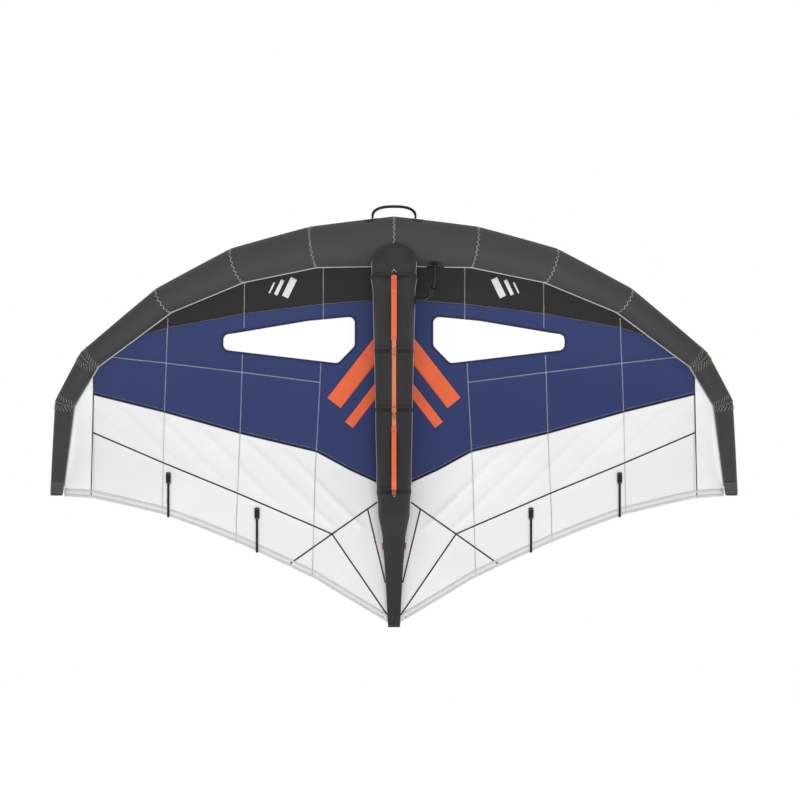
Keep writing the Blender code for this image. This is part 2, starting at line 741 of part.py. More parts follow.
def build_strut(hole):
    """The strut's cloth casing, open towards the nose tube it is sewn to, and the closed bladder inside."""
    casing_mesh = loft(strut_rings(0.0), True, False)
    casing = thicken(finish("strut_casing", casing_mesh, casing_cloth()), CASING_WALL, -1.0)
    cut(casing, nose_envelope("nose_envelope", CLEAR))
    cut(casing, hole)
    skin = CASING_WALL + BLADDER_CLEAR
    core = skin + BLADDER_WALL
    bladder = finish("strut_bladder", loft(strut_rings(-skin)), bladder_film())
    cut(bladder, nose_envelope("bladder_envelope", CLEAR + skin))
    core_mesh = loft(strut_rings(-core, BLADDER_WALL))
    void = as_cutter(finish("bladder_void", core_mesh, bladder_film(), smooth=False))
    cut(void, nose_envelope("void_envelope", CLEAR + core))
    cut(bladder, void)
    cut(bladder, hole)


def build_tail():
    """The flattened cloth tail behind the inflated strut, and the stiff cap that closes it."""
    stations = TAIL_STATION_Z.copy()
    stations[0] -= CLEAR
    stations[-1] += TAIL_CAP_THICK + CLEAR
    rings = [strut_ring(z) for z in stations]
    thicken(finish("strut_tail", loft(rings, False, False), casing_cloth()), CASING_WALL, -1.0)
    top, bottom = TAIL_Z + TAIL_CAP_THICK, TAIL_Z
    ring = strut_ring(bottom)
    cap = [ring * (1, 1, 0) + np.array((0, 0, z)) for z in (bottom, top)]
    finish("tail_cap", loft(cap), black_webbing())


def anchor_z(index):
    return STRUT_TOP_Z - STRUT_LENGTH * ANCHOR_SHARES[index]


def patch_stations(z):
    """Places across a patch: its two ends and the strut's own stations between them."""
    top, bottom = z + PATCH_LENGTH / 2, z - PATCH_LENGTH / 2
    inside = [station for station in ALL_Z if bottom < station < top]
    return [top] + inside + [bottom]


def handle_patch(name, index):
    """One of the cloth patches that the handle is sewn to, on the facets of the strut's underside."""
    middle = 3 * STRUT_SIDES // 4
    picks = slice(middle - PATCH_FACETS, middle + PATCH_FACETS + 1)
    rows = [strut_ring(z, CLEAR + PATCH_WALL / 2)[picks] for z in patch_stations(anchor_z(index))]
    return thicken(finish(name, sheet(rows), black_webbing()), PATCH_WALL, 0.0)


def pivot_point(index):
    """Where the handle's rolled webbing end lies, on the outside of its patch."""
    z = anchor_z(index)
    lowest = min(float(strut_under_y(station)) for station in patch_stations(z))
    return np.array((0.0, lowest - 2 * CLEAR - PATCH_WALL - BAR_RADIUS, z))


def loop_line(first, last):
    """The handle's path: along the pivot line at each end, and standing off it in between."""
    start, end = pivot_point(first), pivot_point(last)
    length = np.linalg.norm(end - start)
    along = (end - start) / length
    out = unit(np.cross(along, (1.0, 0.0, 0.0)))
    out = out if out[1] < 0 else -out
    half = BAR_LENGTH / 2
    ramp = np.linspace(0, 1, 6)
    rise = ramp * ramp * (3 - 2 * ramp)
    places = [-half, half]
    offsets = [0.0, 0.0]
    places += list(half + LOOP_RAMP * ramp[1:])
    offsets += list(LOOP_HEIGHT * rise[1:])
    flat = np.linspace(half + LOOP_RAMP, length - half - LOOP_RAMP, 6)[1:-1]
    places += list(flat)
    offsets += [LOOP_HEIGHT] * len(flat)
    places += list(length - half - LOOP_RAMP * ramp[::-1])
    offsets += list(LOOP_HEIGHT * rise[::-1])
    places.append(length + half)
    offsets.append(0.0)
    places, offsets = np.array(places), np.array(offsets)
    path = start + np.outer(places, along) + np.outer(offsets, out)
    fullness = np.clip(offsets / LOOP_HEIGHT, 0, 1)
    return path, fullness, start, along, out, length


def line_part(path, start, along, length, share_from, share_to, steps=7):
    """The stretch of a path between two shares of its length, resampled."""
    places = (path - start) @ along / length
    wanted = np.linspace(share_from, share_to, steps)
    return np.stack([np.interp(wanted, places, path[:, i]) for i in range(3)], axis=1)


def build_loop(name, first, last, grip_from, grip_to):
    """A webbing loop that swings on its two rolled ends, and the padded grip that it runs through."""
    path, fullness, start, along, out, length = loop_line(first, last)
    widths = 2 * BAR_RADIUS + (WEBBING_WIDTH - 2 * BAR_RADIUS) * fullness
    thicks = 2 * BAR_RADIUS + (WEBBING_THICK - 2 * BAR_RADIUS) * fullness
    powers = 2 + 2 * fullness
    rings = bar_rings(path, widths, thicks, powers)
    webbing = finish(f"{name}_webbing", loft(rings), orange_webbing())
    line = line_part(path, start, along, length, grip_from, grip_to)
    count = len(line)
    swell = 1 - GRIP_TAPER_SHARE * (2 * np.linspace(0, 1, count) - 1) ** 2
    outer = bar_rings(line, GRIP_WIDTH * swell, GRIP_THICK * swell, [3] * count, count=16)
    slot_width = WEBBING_WIDTH + 2 * RUNNING_CLEAR
    slot_thick = WEBBING_THICK + 2 * RUNNING_CLEAR
    inner = bar_rings(line, [slot_width] * count, [slot_thick] * count, [4] * count, count=16)
    grip = finish(f"{name}_grip", pipe_wall(outer, inner), grip_foam())
    for item in (webbing, grip):
        set_origin(item, start)


def build_middle_strap():
    """The flat strap along the strut between the two loops, sewn to the patches at both its ends."""
    top = anchor_z(1) - PATCH_LENGTH / 2 + STRAP_LAP
    bottom = anchor_z(2) + PATCH_LENGTH / 2 - STRAP_LAP
    z = np.array([top] + [station for station in ALL_Z if bottom < station < top] + [bottom])
    lift = CLEAR + (PATCH_WALL + STRAP_THICK) / 2
    path = np.stack((np.zeros_like(z), strut_under_y(z) - lift, z), axis=1)
    rings = bar_rings(path, [STRAP_WIDTH] * len(z), [STRAP_THICK] * len(z), [8] * len(z))
    strap = finish("middle_strap", loft(rings), orange_webbing())
    for name, index in (("strap_patch_front", 1), ("strap_patch_rear", 2)):
        cut(strap, as_cutter(handle_patch(name, index)), "UNION")


def nose_top_at(x):
    """Centre and radius of the nose tube at a distance from the middle, in its first panel."""
    share = x / NOSE_POINTS[1][0]
    centre = NOSE_POINTS[0] + (NOSE_POINTS[1] - NOSE_POINTS[0]) * share
    return centre, NOSE_RADII[0] + (NOSE_RADII[1] - NOSE_RADII[0]) * share


def nose_face_at(x, angle):
    """A point on the nose tube's first panel and the way out of its tapered surface there."""
    centre, radius = nose_top_at(x)
    back, up = cross_axes(NOSE_DIRECTIONS[0])
    spoke = back * math.cos(angle) + up * math.sin(angle)
    taper = (NOSE_RADII[0] - NOSE_RADII[1]) / np.linalg.norm(NOSE_POINTS[1] - NOSE_POINTS[0])
    return centre + spoke * radius, unit(spoke + NOSE_DIRECTIONS[0] * taper)


def bow_pivot_z():
    """Height of the line that the bow turns on, so that its ball feet bear on their patches."""
    crown = [corner_ring(k)[NOSE_SIDES // 2] for k in (0, 1)]
    run, fall = crown[1][0] - crown[0][0], crown[1][2] - crown[0][2]
    lift = (PATCH_WALL + CLEAR + BOW_FOOT_RADIUS) * math.hypot(run, fall) / run
    return crown[0][2] + (BOW_HALF_WIDTH - crown[0][0]) * fall / run + lift


def bow_line(angles):
    """A flat-topped arch from foot to foot."""
    foot = bow_pivot_z()
    height = BOW_TUBE_RADIUS - foot
    c, s = np.cos(angles), np.sin(angles)
    x = BOW_HALF_WIDTH * np.sign(c) * np.abs(c) ** (2 / BOW_SQUARENESS)
    z = foot + height * np.abs(s) ** (2 / BOW_SQUARENESS)
    return np.stack((x, np.zeros_like(x), z), axis=1)


def build_bow():
    """A webbing core with ball feet that turn on the nose tube, and the soft tube drawn over it."""
    arch = bow_line(np.linspace(BOW_BARE_ANGLE, math.pi - BOW_BARE_ANGLE, 21))
    outer = round_rings(arch, BOW_TUBE_RADIUS, 12)
    inner = round_rings(arch, BOW_BORE_RADIUS, 12)
    tube = finish("bow_tube", pipe_wall(outer, inner), black_webbing())
    foot = bow_line(np.array((0.0,)))[0]
    rises = BOW_FOOT_RADIUS * np.sin(np.radians(FOOT_ANGLES))
    widths = BOW_FOOT_RADIUS * np.cos(np.radians(FOOT_ANGLES))
    right = foot + np.outer(rises, (0.0, 0.0, 1.0))
    path = np.concatenate((right, arch, mirrored(right[::-1], LEFT)))
    radii = np.concatenate((widths, [BOW_CORE_RADIUS] * len(arch), widths[::-1]))
    core = finish("bow_webbing", loft(round_rings(path, radii, 12)), black_webbing())
    for item in (tube, core):
        set_origin(item, foot * (0.0, 1.0, 1.0))


def bow_patch(side):
    """A cloth patch on the nose tube under one foot of the bow, raised on the tube's own facets."""
    first, last = corner_ring(0), corner_ring(1)
    middle = NOSE_SIDES // 2
    picks = [middle - 1, middle, middle + 1]
    outline = []
    for x in (BOW_HALF_WIDTH - BOW_PATCH_LENGTH / 2, BOW_HALF_WIDTH + BOW_PATCH_LENGTH / 2):
        share = x / NOSE_POINTS[1][0]
        centre = NOSE_POINTS[0] + (NOSE_POINTS[1] - NOSE_POINTS[0]) * share
        ring = (first + (last - first) * share)[picks]
        away = (ring - centre) / np.linalg.norm(ring - centre, axis=1)[:, None]
        outline.append(np.concatenate((ring + away * PATCH_WALL, (ring - away * CASING_WALL / 2)[::-1])))
    rings = [mirrored(ring, side) for ring in outline]
    return as_cutter(finish(f"bow_patch_{SIDE_NAMES[side]}", loft(rings), black_webbing(), smooth=False))


def valve_place():
    """The valve's middle on the tube, the way it faces, and the way from it towards its cap's hinge."""
    origin, axis = nose_face_at(VALVE_X, math.pi / 2)
    ahead = -cross_axes(NOSE_DIRECTIONS[0])[0]
    return origin, axis, unit(ahead - axis * np.dot(ahead, axis))


def drill(name, origin, axis, radius, depth, rise):
    rings = turned([(radius, -depth), (radius, rise)], VALVE_SEGMENTS, origin, axis)
    return as_cutter(finish(name, loft(rings), grey_plastic(), smooth=False))


def ring_solid(name, profile, origin, axis, look):
    """A turned ring with a bore, from a closed profile of (radius, height) pairs."""
    rings = turned(profile, VALVE_SEGMENTS, origin, axis)
    made = loft(rings + [rings[0]], False, False, tidy=False)
    bmesh.ops.remove_doubles(made, verts=made.verts, dist=CLEAR / 100)
    bmesh.ops.recalc_face_normals(made, faces=made.faces)
    return finish(name, made, look)


def prism(outline, origin, axes, width):
    """A flat outline, given along the first two axes, carried to both sides along the third."""
    first, second, across = [np.asarray(axis, float) for axis in axes]
    flat = [np.asarray(origin) + first * u + second * v for u, v in outline]
    rings = [[point + across * reach for point in flat] for reach in (-width / 2, width / 2)]
    return loft(rings)


def round_ended(length, radius, steps):
    """A strip's outline round a pin: square at its far end and half round about the origin."""
    angles = np.linspace(-math.pi / 2, math.pi / 2, steps)
    nose = [(radius * math.cos(a), radius * math.sin(a)) for a in angles]
    return nose + [(-length, radius), (-length, -radius)]


def rod(name, middle, axis, radius, length):
    rings = turned([(radius, -length / 2), (radius, length / 2)], PIN_SEGMENTS, middle, axis)
    return as_cutter(finish(name, loft(rings), grey_plastic(), smooth=False))


def build_valve():
    """A collar in the nose tube, a body that twists in it, a one-way flap on a stem and a hinged cap."""
    origin, axis, top = valve_place()
    side = np.cross(axis, top)
    base_bore = VALVE_BASE_RADIUS - VALVE_BASE_WALL
    rim_low = CLEAR
    rim_high = rim_low + VALVE_RIM_THICK
    base = ring_solid("valve_base", [
        (base_bore, -VALVE_DEPTH), (VALVE_BASE_RADIUS, -VALVE_DEPTH), (VALVE_BASE_RADIUS, rim_low),
        (VALVE_RIM_RADIUS, rim_low), (VALVE_RIM_RADIUS, rim_high), (base_bore, rim_high),
    ], origin, axis, grey_plastic())
    body_outer = base_bore - RUNNING_CLEAR
    body_low = 2 * VALVE_SEAT_THICK + VALVE_FLAP_THICK + RUNNING_CLEAR - VALVE_DEPTH
    grip_low = rim_high + RUNNING_CLEAR
    grip_high = grip_low + VALVE_BODY_RISE - VALVE_RIM_THICK
    seat_high = body_low + VALVE_SEAT_THICK
    body = ring_solid("valve_body", [
        (VALVE_SEAT_RADIUS, body_low), (body_outer, body_low), (body_outer, grip_low),
        (VALVE_GRIP_RADIUS, grip_low), (VALVE_GRIP_RADIUS, grip_high), (VALVE_BORE_RADIUS, grip_high),
        (VALVE_BORE_RADIUS, seat_high), (VALVE_SEAT_RADIUS, seat_high),
    ], origin, axis, grey_plastic())
    spoke_middle = origin + axis * (body_low + VALVE_SEAT_THICK / 2)
    spoke_size = (VALVE_SPOKE_WIDTH, 2 * VALVE_BORE_RADIUS, VALVE_SEAT_THICK / 2)
    spoke = box_solid(spoke_size, spoke_middle, (side, top, axis))
    cut(body, as_cutter(finish("valve_spoke", spoke, grey_plastic(), smooth=False)), "UNION")
    cut(body, rod("stem_hole", spoke_middle, axis, VALVE_STEM_RADIUS + CLEAR, 2 * VALVE_SEAT_THICK))
    flap_high = body_low - CLEAR
    flap_rings = turned([
        (VALVE_FLAP_RADIUS, flap_high - VALVE_FLAP_THICK), (VALVE_FLAP_RADIUS, flap_high),
        (VALVE_STEM_RADIUS, flap_high), (VALVE_STEM_RADIUS, seat_high + VALVE_FLAP_TRAVEL),
    ], VALVE_SEGMENTS, origin, axis)
    flap = finish("valve_flap", loft(flap_rings), flap_rubber())
    cap_low = grip_high + CLEAR
    cap_rings = turned([
        (VALVE_PLUG_RADIUS, cap_low - VALVE_PLUG_LENGTH), (VALVE_PLUG_RADIUS, cap_low),
        (VALVE_CAP_RADIUS, cap_low), (VALVE_CAP_RADIUS, cap_low + VALVE_CAP_THICK),
    ], VALVE_SEGMENTS, origin, axis)
    cap = finish("valve_cap", loft(cap_rings), grey_plastic())
    pin = origin + top * VALVE_HINGE_REACH + axis * (cap_low + VALVE_CAP_THICK / 2)
    tongue_length = VALVE_HINGE_REACH - VALVE_CAP_RADIUS + VALVE_CAP_THICK
    outline = round_ended(tongue_length, VALVE_TONGUE_THICK / 2, 7)
    tongue = prism(outline, pin, (top, axis, side), VALVE_LUG_WIDTH)
    cut(cap, as_cutter(finish("cap_tongue", tongue, grey_plastic(), smooth=False)), "UNION")
    cut(cap, rod("cap_bore", pin, side, VALVE_PIN_RADIUS + CLEAR, 2 * VALVE_LUG_WIDTH))
    drop = cap_low + VALVE_CAP_THICK / 2 - (rim_low + rim_high) / 2
    add_ears(base, "cap", pin, (top, axis, side), VALVE_LUG_WIDTH, VALVE_EAR_THICK, VALVE_CAP_THICK, drop,
             VALVE_PIN_RADIUS)
    for item in (body, flap):
        set_origin(item, origin)
    set_origin(cap, pin)


def add_ears(base, name, pin, axes, gap, ear_thick, thick, drop, pin_radius):
    """Two ears that stand on a base to both sides of a hinged tongue, and the pin through all three."""
    first, second, across = axes
    reach = gap / 2 + RUNNING_CLEAR + ear_thick / 2
    half = thick / 2
    outline = [(-half, -drop), (half, -drop), (half, 0.0)]
    outline += [(half * math.cos(a), half * math.sin(a)) for a in np.linspace(0, math.pi, 7)[1:]]
    for sign in (RIGHT, LEFT):
        ear = prism(outline, pin + across * sign * reach, (first, second, across), ear_thick)
        ear_item = finish(f"{name}_ear_{SIDE_NAMES[sign]}", ear, grey_plastic(), smooth=False)
        cut(base, as_cutter(ear_item), "UNION")
    cut(base, rod(f"{name}_pin", pin, across, pin_radius, 2 * reach), "UNION")


def nose_port_place():
    return nose_face_at(NOSE_PORT_X, NOSE_PORT_ANGLE)


def strut_port_place():
    z = STRUT_TOP_Z - STRUT_LENGTH * STRUT_PORT_SHARE
    return np.array((strut_half_width(z), float(strut_centre_y(z)), z)), np.array((1.0, 0.0, 0.0))


def build_port(name, origin, axis):
    """A flanged spigot. Its flange lies on the casing, and its neck goes in to the bladder and out to
    the hose."""
    low = CLEAR
    flange = low + PORT_FLANGE_THICK
    bore = PORT_NECK_RADIUS / 2
    end = flange + PORT_NECK_LENGTH
    ring_solid(name, [
        (bore, -PORT_DEPTH), (PORT_COLLAR_RADIUS - PORT_FLANGE_THICK, -PORT_DEPTH),
        (PORT_COLLAR_RADIUS - PORT_FLANGE_THICK, low), (PORT_FLANGE_RADIUS, low),
        (PORT_FLANGE_RADIUS, flange), (PORT_NECK_RADIUS, flange), (PORT_NECK_RADIUS, end), (bore, end),
    ], origin, axis, grey_plastic())


def hose_line():
    """A smooth quarter turn from one spigot to the other, leaving each one straight along its neck."""
    start, start_axis = nose_port_place()
    end, end_axis = strut_port_place()
    lead = 2 * CLEAR + PORT_FLANGE_THICK
    neck = lead + PORT_NECK_LENGTH
    first, last = start + start_axis * neck, end + end_axis * neck
    pull = np.linalg.norm(last - first) * HOSE_PULL_SHARE
    a, b = first + start_axis * pull, last + end_axis * pull
    t = np.linspace(0, 1, HOSE_POINTS)[:, None]
    curve = (1 - t) ** 3 * first + 3 * (1 - t) ** 2 * t * a + 3 * (1 - t) * t ** 2 * b + t ** 3 * last
    return np.concatenate(([start + start_axis * lead], curve, [end + end_axis * lead]))


def build_hose():
    path = hose_line()
    outer = round_rings(path, HOSE_RADIUS, 12)
    inner = round_rings(path, HOSE_BORE_RADIUS, 12)
    finish("link_hose", pipe_wall(outer, inner), hose_rubber())
    return path


def build_clip(path):
    """A pinch clip round the middle of the hose, with a lever hinged between two ears."""
    index = int(round((len(path) - 1) * CLIP_PLACE_SHARE))
    middle = path[index]
    along = unit(path[index - 1] - path[index + 1])
    out = np.array((0.0, -1.0, 0.0))
    out = unit(out - along * np.dot(out, along))
    across = np.cross(along, out)
    block = box_solid((CLIP_LENGTH, CLIP_WIDTH, CLIP_DEPTH), middle, (along, across, out))
    clip = finish("hose_clip", block, grey_plastic(), smooth=False)
    bore = loft(round_rings(path, HOSE_RADIUS + RUNNING_CLEAR, 12))
    cut(clip, as_cutter(finish("clip_bore", bore, grey_plastic(), smooth=False)))
    gap = CLIP_WIDTH - 2 * (CLIP_EAR_THICK + RUNNING_CLEAR)
    lift = CLIP_DEPTH / 2 + CLEAR + CLIP_LEVER_THICK / 2
    pin = middle + out * lift + along * (CLIP_LENGTH / 2 - CLIP_LEVER_THICK)
    lever = prism(round_ended(CLIP_LEVER_LENGTH, CLIP_LEVER_THICK / 2, 7), pin, (along, out, across), gap)
    lever_item = finish("hose_clip_lever", lever, grey_plastic(), smooth=False)
    cut(lever_item, rod("lever_bore", pin, across, CLIP_PIN_RADIUS + CLEAR, 2 * CLIP_WIDTH))
    drop = lift - CLIP_DEPTH / 3
    add_ears(clip, "lever", pin, (along, out, across), gap, CLIP_EAR_THICK, CLIP_LEVER_THICK, drop, CLIP_PIN_RADIUS)
    set_origin(lever_item, pin)


def sleeve_path(x, side, lift):
    """A line along the canopy's underside that ends a little behind the trailing edge, and its side
    directions."""
    bottom = edge_z(x) - SLEEVE_OVERHANG
    z = np.linspace(bottom, bottom + SLEEVE_LENGTH, 8)
    y = canopy_y(x, np.maximum(z, edge_z(x)))
    reach = SLEEVE_WIDTH
    inside = np.maximum(z, edge_z(x) + reach)
    slope = (canopy_y(x + reach, inside) - canopy_y(x - reach, inside)) / (2 * reach)
    sides = np.stack((np.ones_like(z), slope, np.zeros_like(z)), axis=1)
    sides = sides / np.linalg.norm(sides, axis=1)[:, None]
    return mirrored(np.stack((np.full_like(z, x), y - lift, z), axis=1), side), mirrored(sides, side)


def build_battens():
    """Four sewn sleeves under the trailing edge, each with a glass batten inside."""
    lift = HEM_WALL / 2 + 2 * RUNNING_CLEAR + SLEEVE_THICK / 2
    for side in (RIGHT, LEFT):
        for place, share in zip(("inner", "outer"), BATTEN_X_SHARES):
            label = f"{SIDE_NAMES[side]}_{place}"
            path, sides = sleeve_path(HALF_SPAN * share, side, lift)
            count = len(path)
            patch = BATTEN_PATCH_LENGTH / SLEEVE_LENGTH
            widths = np.where(np.linspace(0, 1, count) > 1 - patch, BATTEN_PATCH_WIDTH, SLEEVE_WIDTH)
            outer = bar_rings(path, widths, [SLEEVE_THICK] * count, [8] * count, sides)
            slot = BATTEN_WIDTH + 2 * RUNNING_CLEAR
            slot_thick = BATTEN_THICK + 2 * CLEAR
            inner = bar_rings(path, [slot] * count, [slot_thick] * count, [8] * count, sides)
            finish(f"batten_sleeve_{label}", pipe_wall(outer, inner), black_webbing())
            count -= 2
            widths, thicks = [BATTEN_WIDTH] * count, [BATTEN_THICK] * count
            rings = bar_rings(path[1:-1], widths, thicks, [8] * count, sides[1:-1])
            finish(f"batten_{label}", loft(rings), batten_glass())


def main():
    clear_scene()
    origin, axis, _ = valve_place()
    hole_radius = VALVE_BASE_RADIUS + RUNNING_CLEAR
    valve_hole = drill("valve_hole", origin, axis, hole_radius, NOSE_RADIUS / 2, OVERRUN)
    port, port_axis = nose_port_place()
    port_radius = PORT_COLLAR_RADIUS - PORT_FLANGE_THICK + RUNNING_CLEAR
    port_hole = drill("port_hole", port, port_axis, port_radius, NOSE_RADIUS / 2, OVERRUN)
    strut_port, strut_axis = strut_port_place()
    strut_hole = drill("strut_hole", strut_port, strut_axis, port_radius, STRUT_HEAD_RADIUS / 2, OVERRUN)
    for side in (RIGHT, LEFT):
        panels = build_nose_casing(side)
        if side == RIGHT:
            cut(panels[0], valve_hole)
            cut(panels[0], port_hole)
        build_piping(side)
        build_canopy_side(side)
    build_nose_bladder((valve_hole, port_hole))
    build_strut(strut_hole)
    build_tail()
    build_centre_tape()
    handle_patch("handle_patch_front", 0)
    handle_patch("handle_patch_rear", 3)
    build_loop("front_handle", 0, 1, GRIP_START_SHARES[0], GRIP_END_SHARES[0])
    build_loop("rear_handle", 2, 3, GRIP_START_SHARES[1], GRIP_END_SHARES[1])
    build_middle_strap()
    build_bow()
    build_valve()
    build_port("nose_port", port, port_axis)
    build_port("strut_port", strut_port, strut_axis)
    path = build_hose()
    build_clip(path)
    build_battens()


main()
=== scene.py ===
"""A hand-held inflatable wing, hung by its bow handle and seen from its handle side."""
# %% [markdown]
# The imported model is loaded first. It gives the solids that move in the simulator, and every
# piece below is fitted to them.

# %% Load the frame
import math

import bmesh
import bpy
import mathutils
import numpy as np
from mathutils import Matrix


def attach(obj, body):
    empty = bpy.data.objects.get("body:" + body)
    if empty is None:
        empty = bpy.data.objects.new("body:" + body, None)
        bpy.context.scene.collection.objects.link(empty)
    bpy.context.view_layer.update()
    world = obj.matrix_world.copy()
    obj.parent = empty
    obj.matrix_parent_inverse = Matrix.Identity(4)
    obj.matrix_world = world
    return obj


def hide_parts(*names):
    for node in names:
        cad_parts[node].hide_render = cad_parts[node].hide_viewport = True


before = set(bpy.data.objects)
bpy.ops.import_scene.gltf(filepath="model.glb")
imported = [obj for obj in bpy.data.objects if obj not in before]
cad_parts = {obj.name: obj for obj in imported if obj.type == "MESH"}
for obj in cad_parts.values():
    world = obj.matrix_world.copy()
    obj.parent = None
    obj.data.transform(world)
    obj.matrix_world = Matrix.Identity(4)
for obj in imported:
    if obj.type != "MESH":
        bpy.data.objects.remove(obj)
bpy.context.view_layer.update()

# %% [markdown]
# The photograph is square-on to the handle side and shows no perspective that could be measured,
# so the camera stands 150 metres away with a very long lens. Four metres fit across the picture.
# The wing hangs in the air over a white paper floor, in front of a white sky.

# %% Camera
PICTURE_WIDTH = 4.0
CAMERA_DISTANCE = 150.0
LOOK_AT = (0.030, 0.10, -0.960)

camera_data = bpy.data.cameras.new("camera")
camera_data.sensor_width = 36.0
camera_data.lens = 36.0 * CAMERA_DISTANCE / PICTURE_WIDTH
camera_data.clip_end = 250.0
camera = bpy.data.objects.new("camera", camera_data)
camera.location = (LOOK_AT[0], LOOK_AT[1] - CAMERA_DISTANCE, LOOK_AT[2])
camera.rotation_euler = (math.radians(90), 0.0, 0.0)
bpy.context.scene.collection.objects.link(camera)
bpy.context.scene.camera = camera
print("lens", round(camera_data.lens, 1), "mm")

# %% [markdown]
# A few small helpers do all the mesh work. `joined` turns one or more grids of points into a mesh,
# `surface` does it for one grid, and `closed` for a grid that closes on itself and has both ends
# filled. `finish_piece` gives a mesh its material and its moving body, and hides the plain solids
# that it stands for.

# %% Mesh helpers
def unit(vectors):
    """Vectors scaled to length one, along the last axis."""
    vectors = np.asarray(vectors, float)
    return vectors / np.linalg.norm(vectors, axis=-1, keepdims=True)


def stacked(*parts):
    """Coordinates side by side on a new last axis, each stretched to the shape they share."""
    return np.stack(np.broadcast_arrays(*parts), axis=-1)


def run_length(line):
    """How far each point lies along its line: the lengths between neighbours, added up."""
    return np.append(0.0, np.cumsum(np.linalg.norm(np.diff(line, axis=0), axis=1)))


def grid_faces(rows, columns, around):
    """Corner numbers of each square in a grid, and the row and column of each corner."""
    i, j = np.meshgrid(np.arange(rows - 1), np.arange(columns if around else columns - 1), indexing="ij")
    row = np.stack((i, i, i + 1, i + 1), axis=-1).reshape(-1, 4)
    column = np.stack((j, j + 1, j + 1, j), axis=-1).reshape(-1, 4)
    return row * columns + column % columns, row, column


def joined(name, grids):
    """One mesh from several grids; each is (points, uv or None, around, capped)."""
    points, faces, flat, start = [], [], [], 0
    for grid, uv, around, capped in grids:
        grid = np.asarray(grid, float)
        rows, columns = grid.shape[:2]
        square, row, column = grid_faces(rows, columns, around)
        points.append(grid.reshape(-1, 3))
        faces += (square + start).tolist()
        flat.append(np.zeros((square.size, 2)) if uv is None else uv[row, column].reshape(-1, 2))
        if capped:
            ends = np.array((np.arange(columns)[::-1], np.arange(columns) + (rows - 1) * columns))
            faces += (ends + start).tolist()
            flat.append(np.zeros((2 * columns, 2)))
        start += rows * columns
    mesh = bpy.data.meshes.new(name)
    mesh.from_pydata(np.concatenate(points).tolist(), [], faces)
    mesh.uv_layers.new(name="flat").data.foreach_set("uv", np.concatenate(flat).ravel())
    piece = bpy.data.objects.new(name, mesh)
    bpy.context.scene.collection.objects.link(piece)
    mesh.shade_smooth()
    return piece


def surface(name, points, uv=None, around=False, capped=False):
    """One mesh from one grid."""
    return joined(name, [(points, uv, around, capped)])


# %% [markdown]
# A grid alone isn't a finished mesh. A tube's faces have to point outwards, a sheet needs its wall,
# a hole is cut with a closed shape, and the other half of the wing needs mirror images. Each of
# these is one helper.

# %% Closed shapes, walls and holes
def face_out(piece):
    """Turns every face of a closed piece outwards."""
    made = bmesh.new()
    made.from_mesh(piece.data)
    bmesh.ops.remove_doubles(made, verts=made.verts, dist=1e-6)
    bmesh.ops.recalc_face_normals(made, faces=made.faces)
    made.to_mesh(piece.data)
    made.free()
    return piece


def closed(name, points, uv=None):
    """A grid that closes on itself and has both ends filled, with its faces outwards."""
    return face_out(surface(name, points, uv, around=True, capped=True))


def mirrored(grids):
    """Each grid and its mirror image; the image's rings run backwards, so its faces stay outwards."""
    return [part for grid, uv, around, capped in grids
            for part in ((grid, uv, around, capped), (grid[:, ::-1] * (-1, 1, 1), uv, around, capped))]


def wall(piece, thickness):
    """Gives a sheet its thickness, half to each side of it."""
    modifier = piece.modifiers.new("wall", "SOLIDIFY")
    modifier.thickness = thickness
    modifier.offset = 0.0
    return piece


def cut_away(piece, bit):
    """Takes a closed shape out of a piece, and then removes that shape."""
    cut = piece.modifiers.new("cut", "BOOLEAN")
    cut.object, cut.operation, cut.solver = bit, "DIFFERENCE", "EXACT"
    bpy.context.view_layer.objects.active = piece
    bpy.ops.object.modifier_apply(modifier="cut")
    bpy.data.objects.remove(bit)


def finish_piece(piece, look, body, slot, *nodes):
    """Material, moving body, a record slot that is not used, and the plain solids that the piece stands for.
    """
    piece.data.materials.clear()
    piece.data.materials.append(look)
    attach(piece, body)
    if nodes:
        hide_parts(*nodes)
    print(f"{piece.name}: {len(piece.data.polygons)} faces")
    return piece


# %% [markdown]
# A material is a small graph of nodes. One function adds a node, sets it and links it, so that a
# material reads like a recipe. Colours are written as sRGB hex, as a paint chart gives them, and
# one function turns them into the linear numbers that the shader needs.

# %% Material helpers
def linear(code):
    """sRGB hex to linear: below 0.04045 divide by 12.92, else raise (c + 0.055) / 1.055 to 2.4."""
    values = np.array([int(code[i:i + 2], 16) for i in (1, 3, 5)]) / 255
    values = np.where(values <= 0.04045, values / 12.92, ((values + 0.055) / 1.055) ** 2.4)
    return (*values, 1.0)


def add(tree, kind, settings=None, **links):
    """Adds a node. Settings are its own properties. Links are its inputs, as sockets or as values;
    an underscore and a number stand for an input without a name of its own."""
    node = tree.nodes.new("ShaderNode" + kind)
    for name, value in (settings or {}).items():
        setattr(node, name, value)
    for name, value in links.items():
        key = int(name[1:]) if name[0] == "_" else name.replace("_", " ")
        socket = node.inputs[key]
        if isinstance(value, bpy.types.NodeSocket):
            tree.links.new(value, socket)
        else:
            socket.default_value = value
    return node


def new_look(name, roughness, sheen=0.0, specular=0.5):
    """A named material with its shader; its colour and bump are linked afterwards."""
    look = bpy.data.materials.new(name)
    look.use_nodes = True
    shader = look.node_tree.nodes["Principled BSDF"]
    shader.inputs["Roughness"].default_value = roughness
    shader.inputs["Sheen Weight"].default_value = sheen
    shader.inputs["Specular IOR Level"].default_value = specular
    return look, look.node_tree, shader


def lay(tree, shader, colour, height, distance):
    """Links a colour to the shader, and as its bump a height that counts in steps of a distance."""
    tree.links.new(colour, shader.inputs["Base Color"])
    bump = add(tree, "Bump", Height=height, Distance=distance, Strength=1.0)
    tree.links.new(bump.outputs[0], shader.inputs["Normal"])


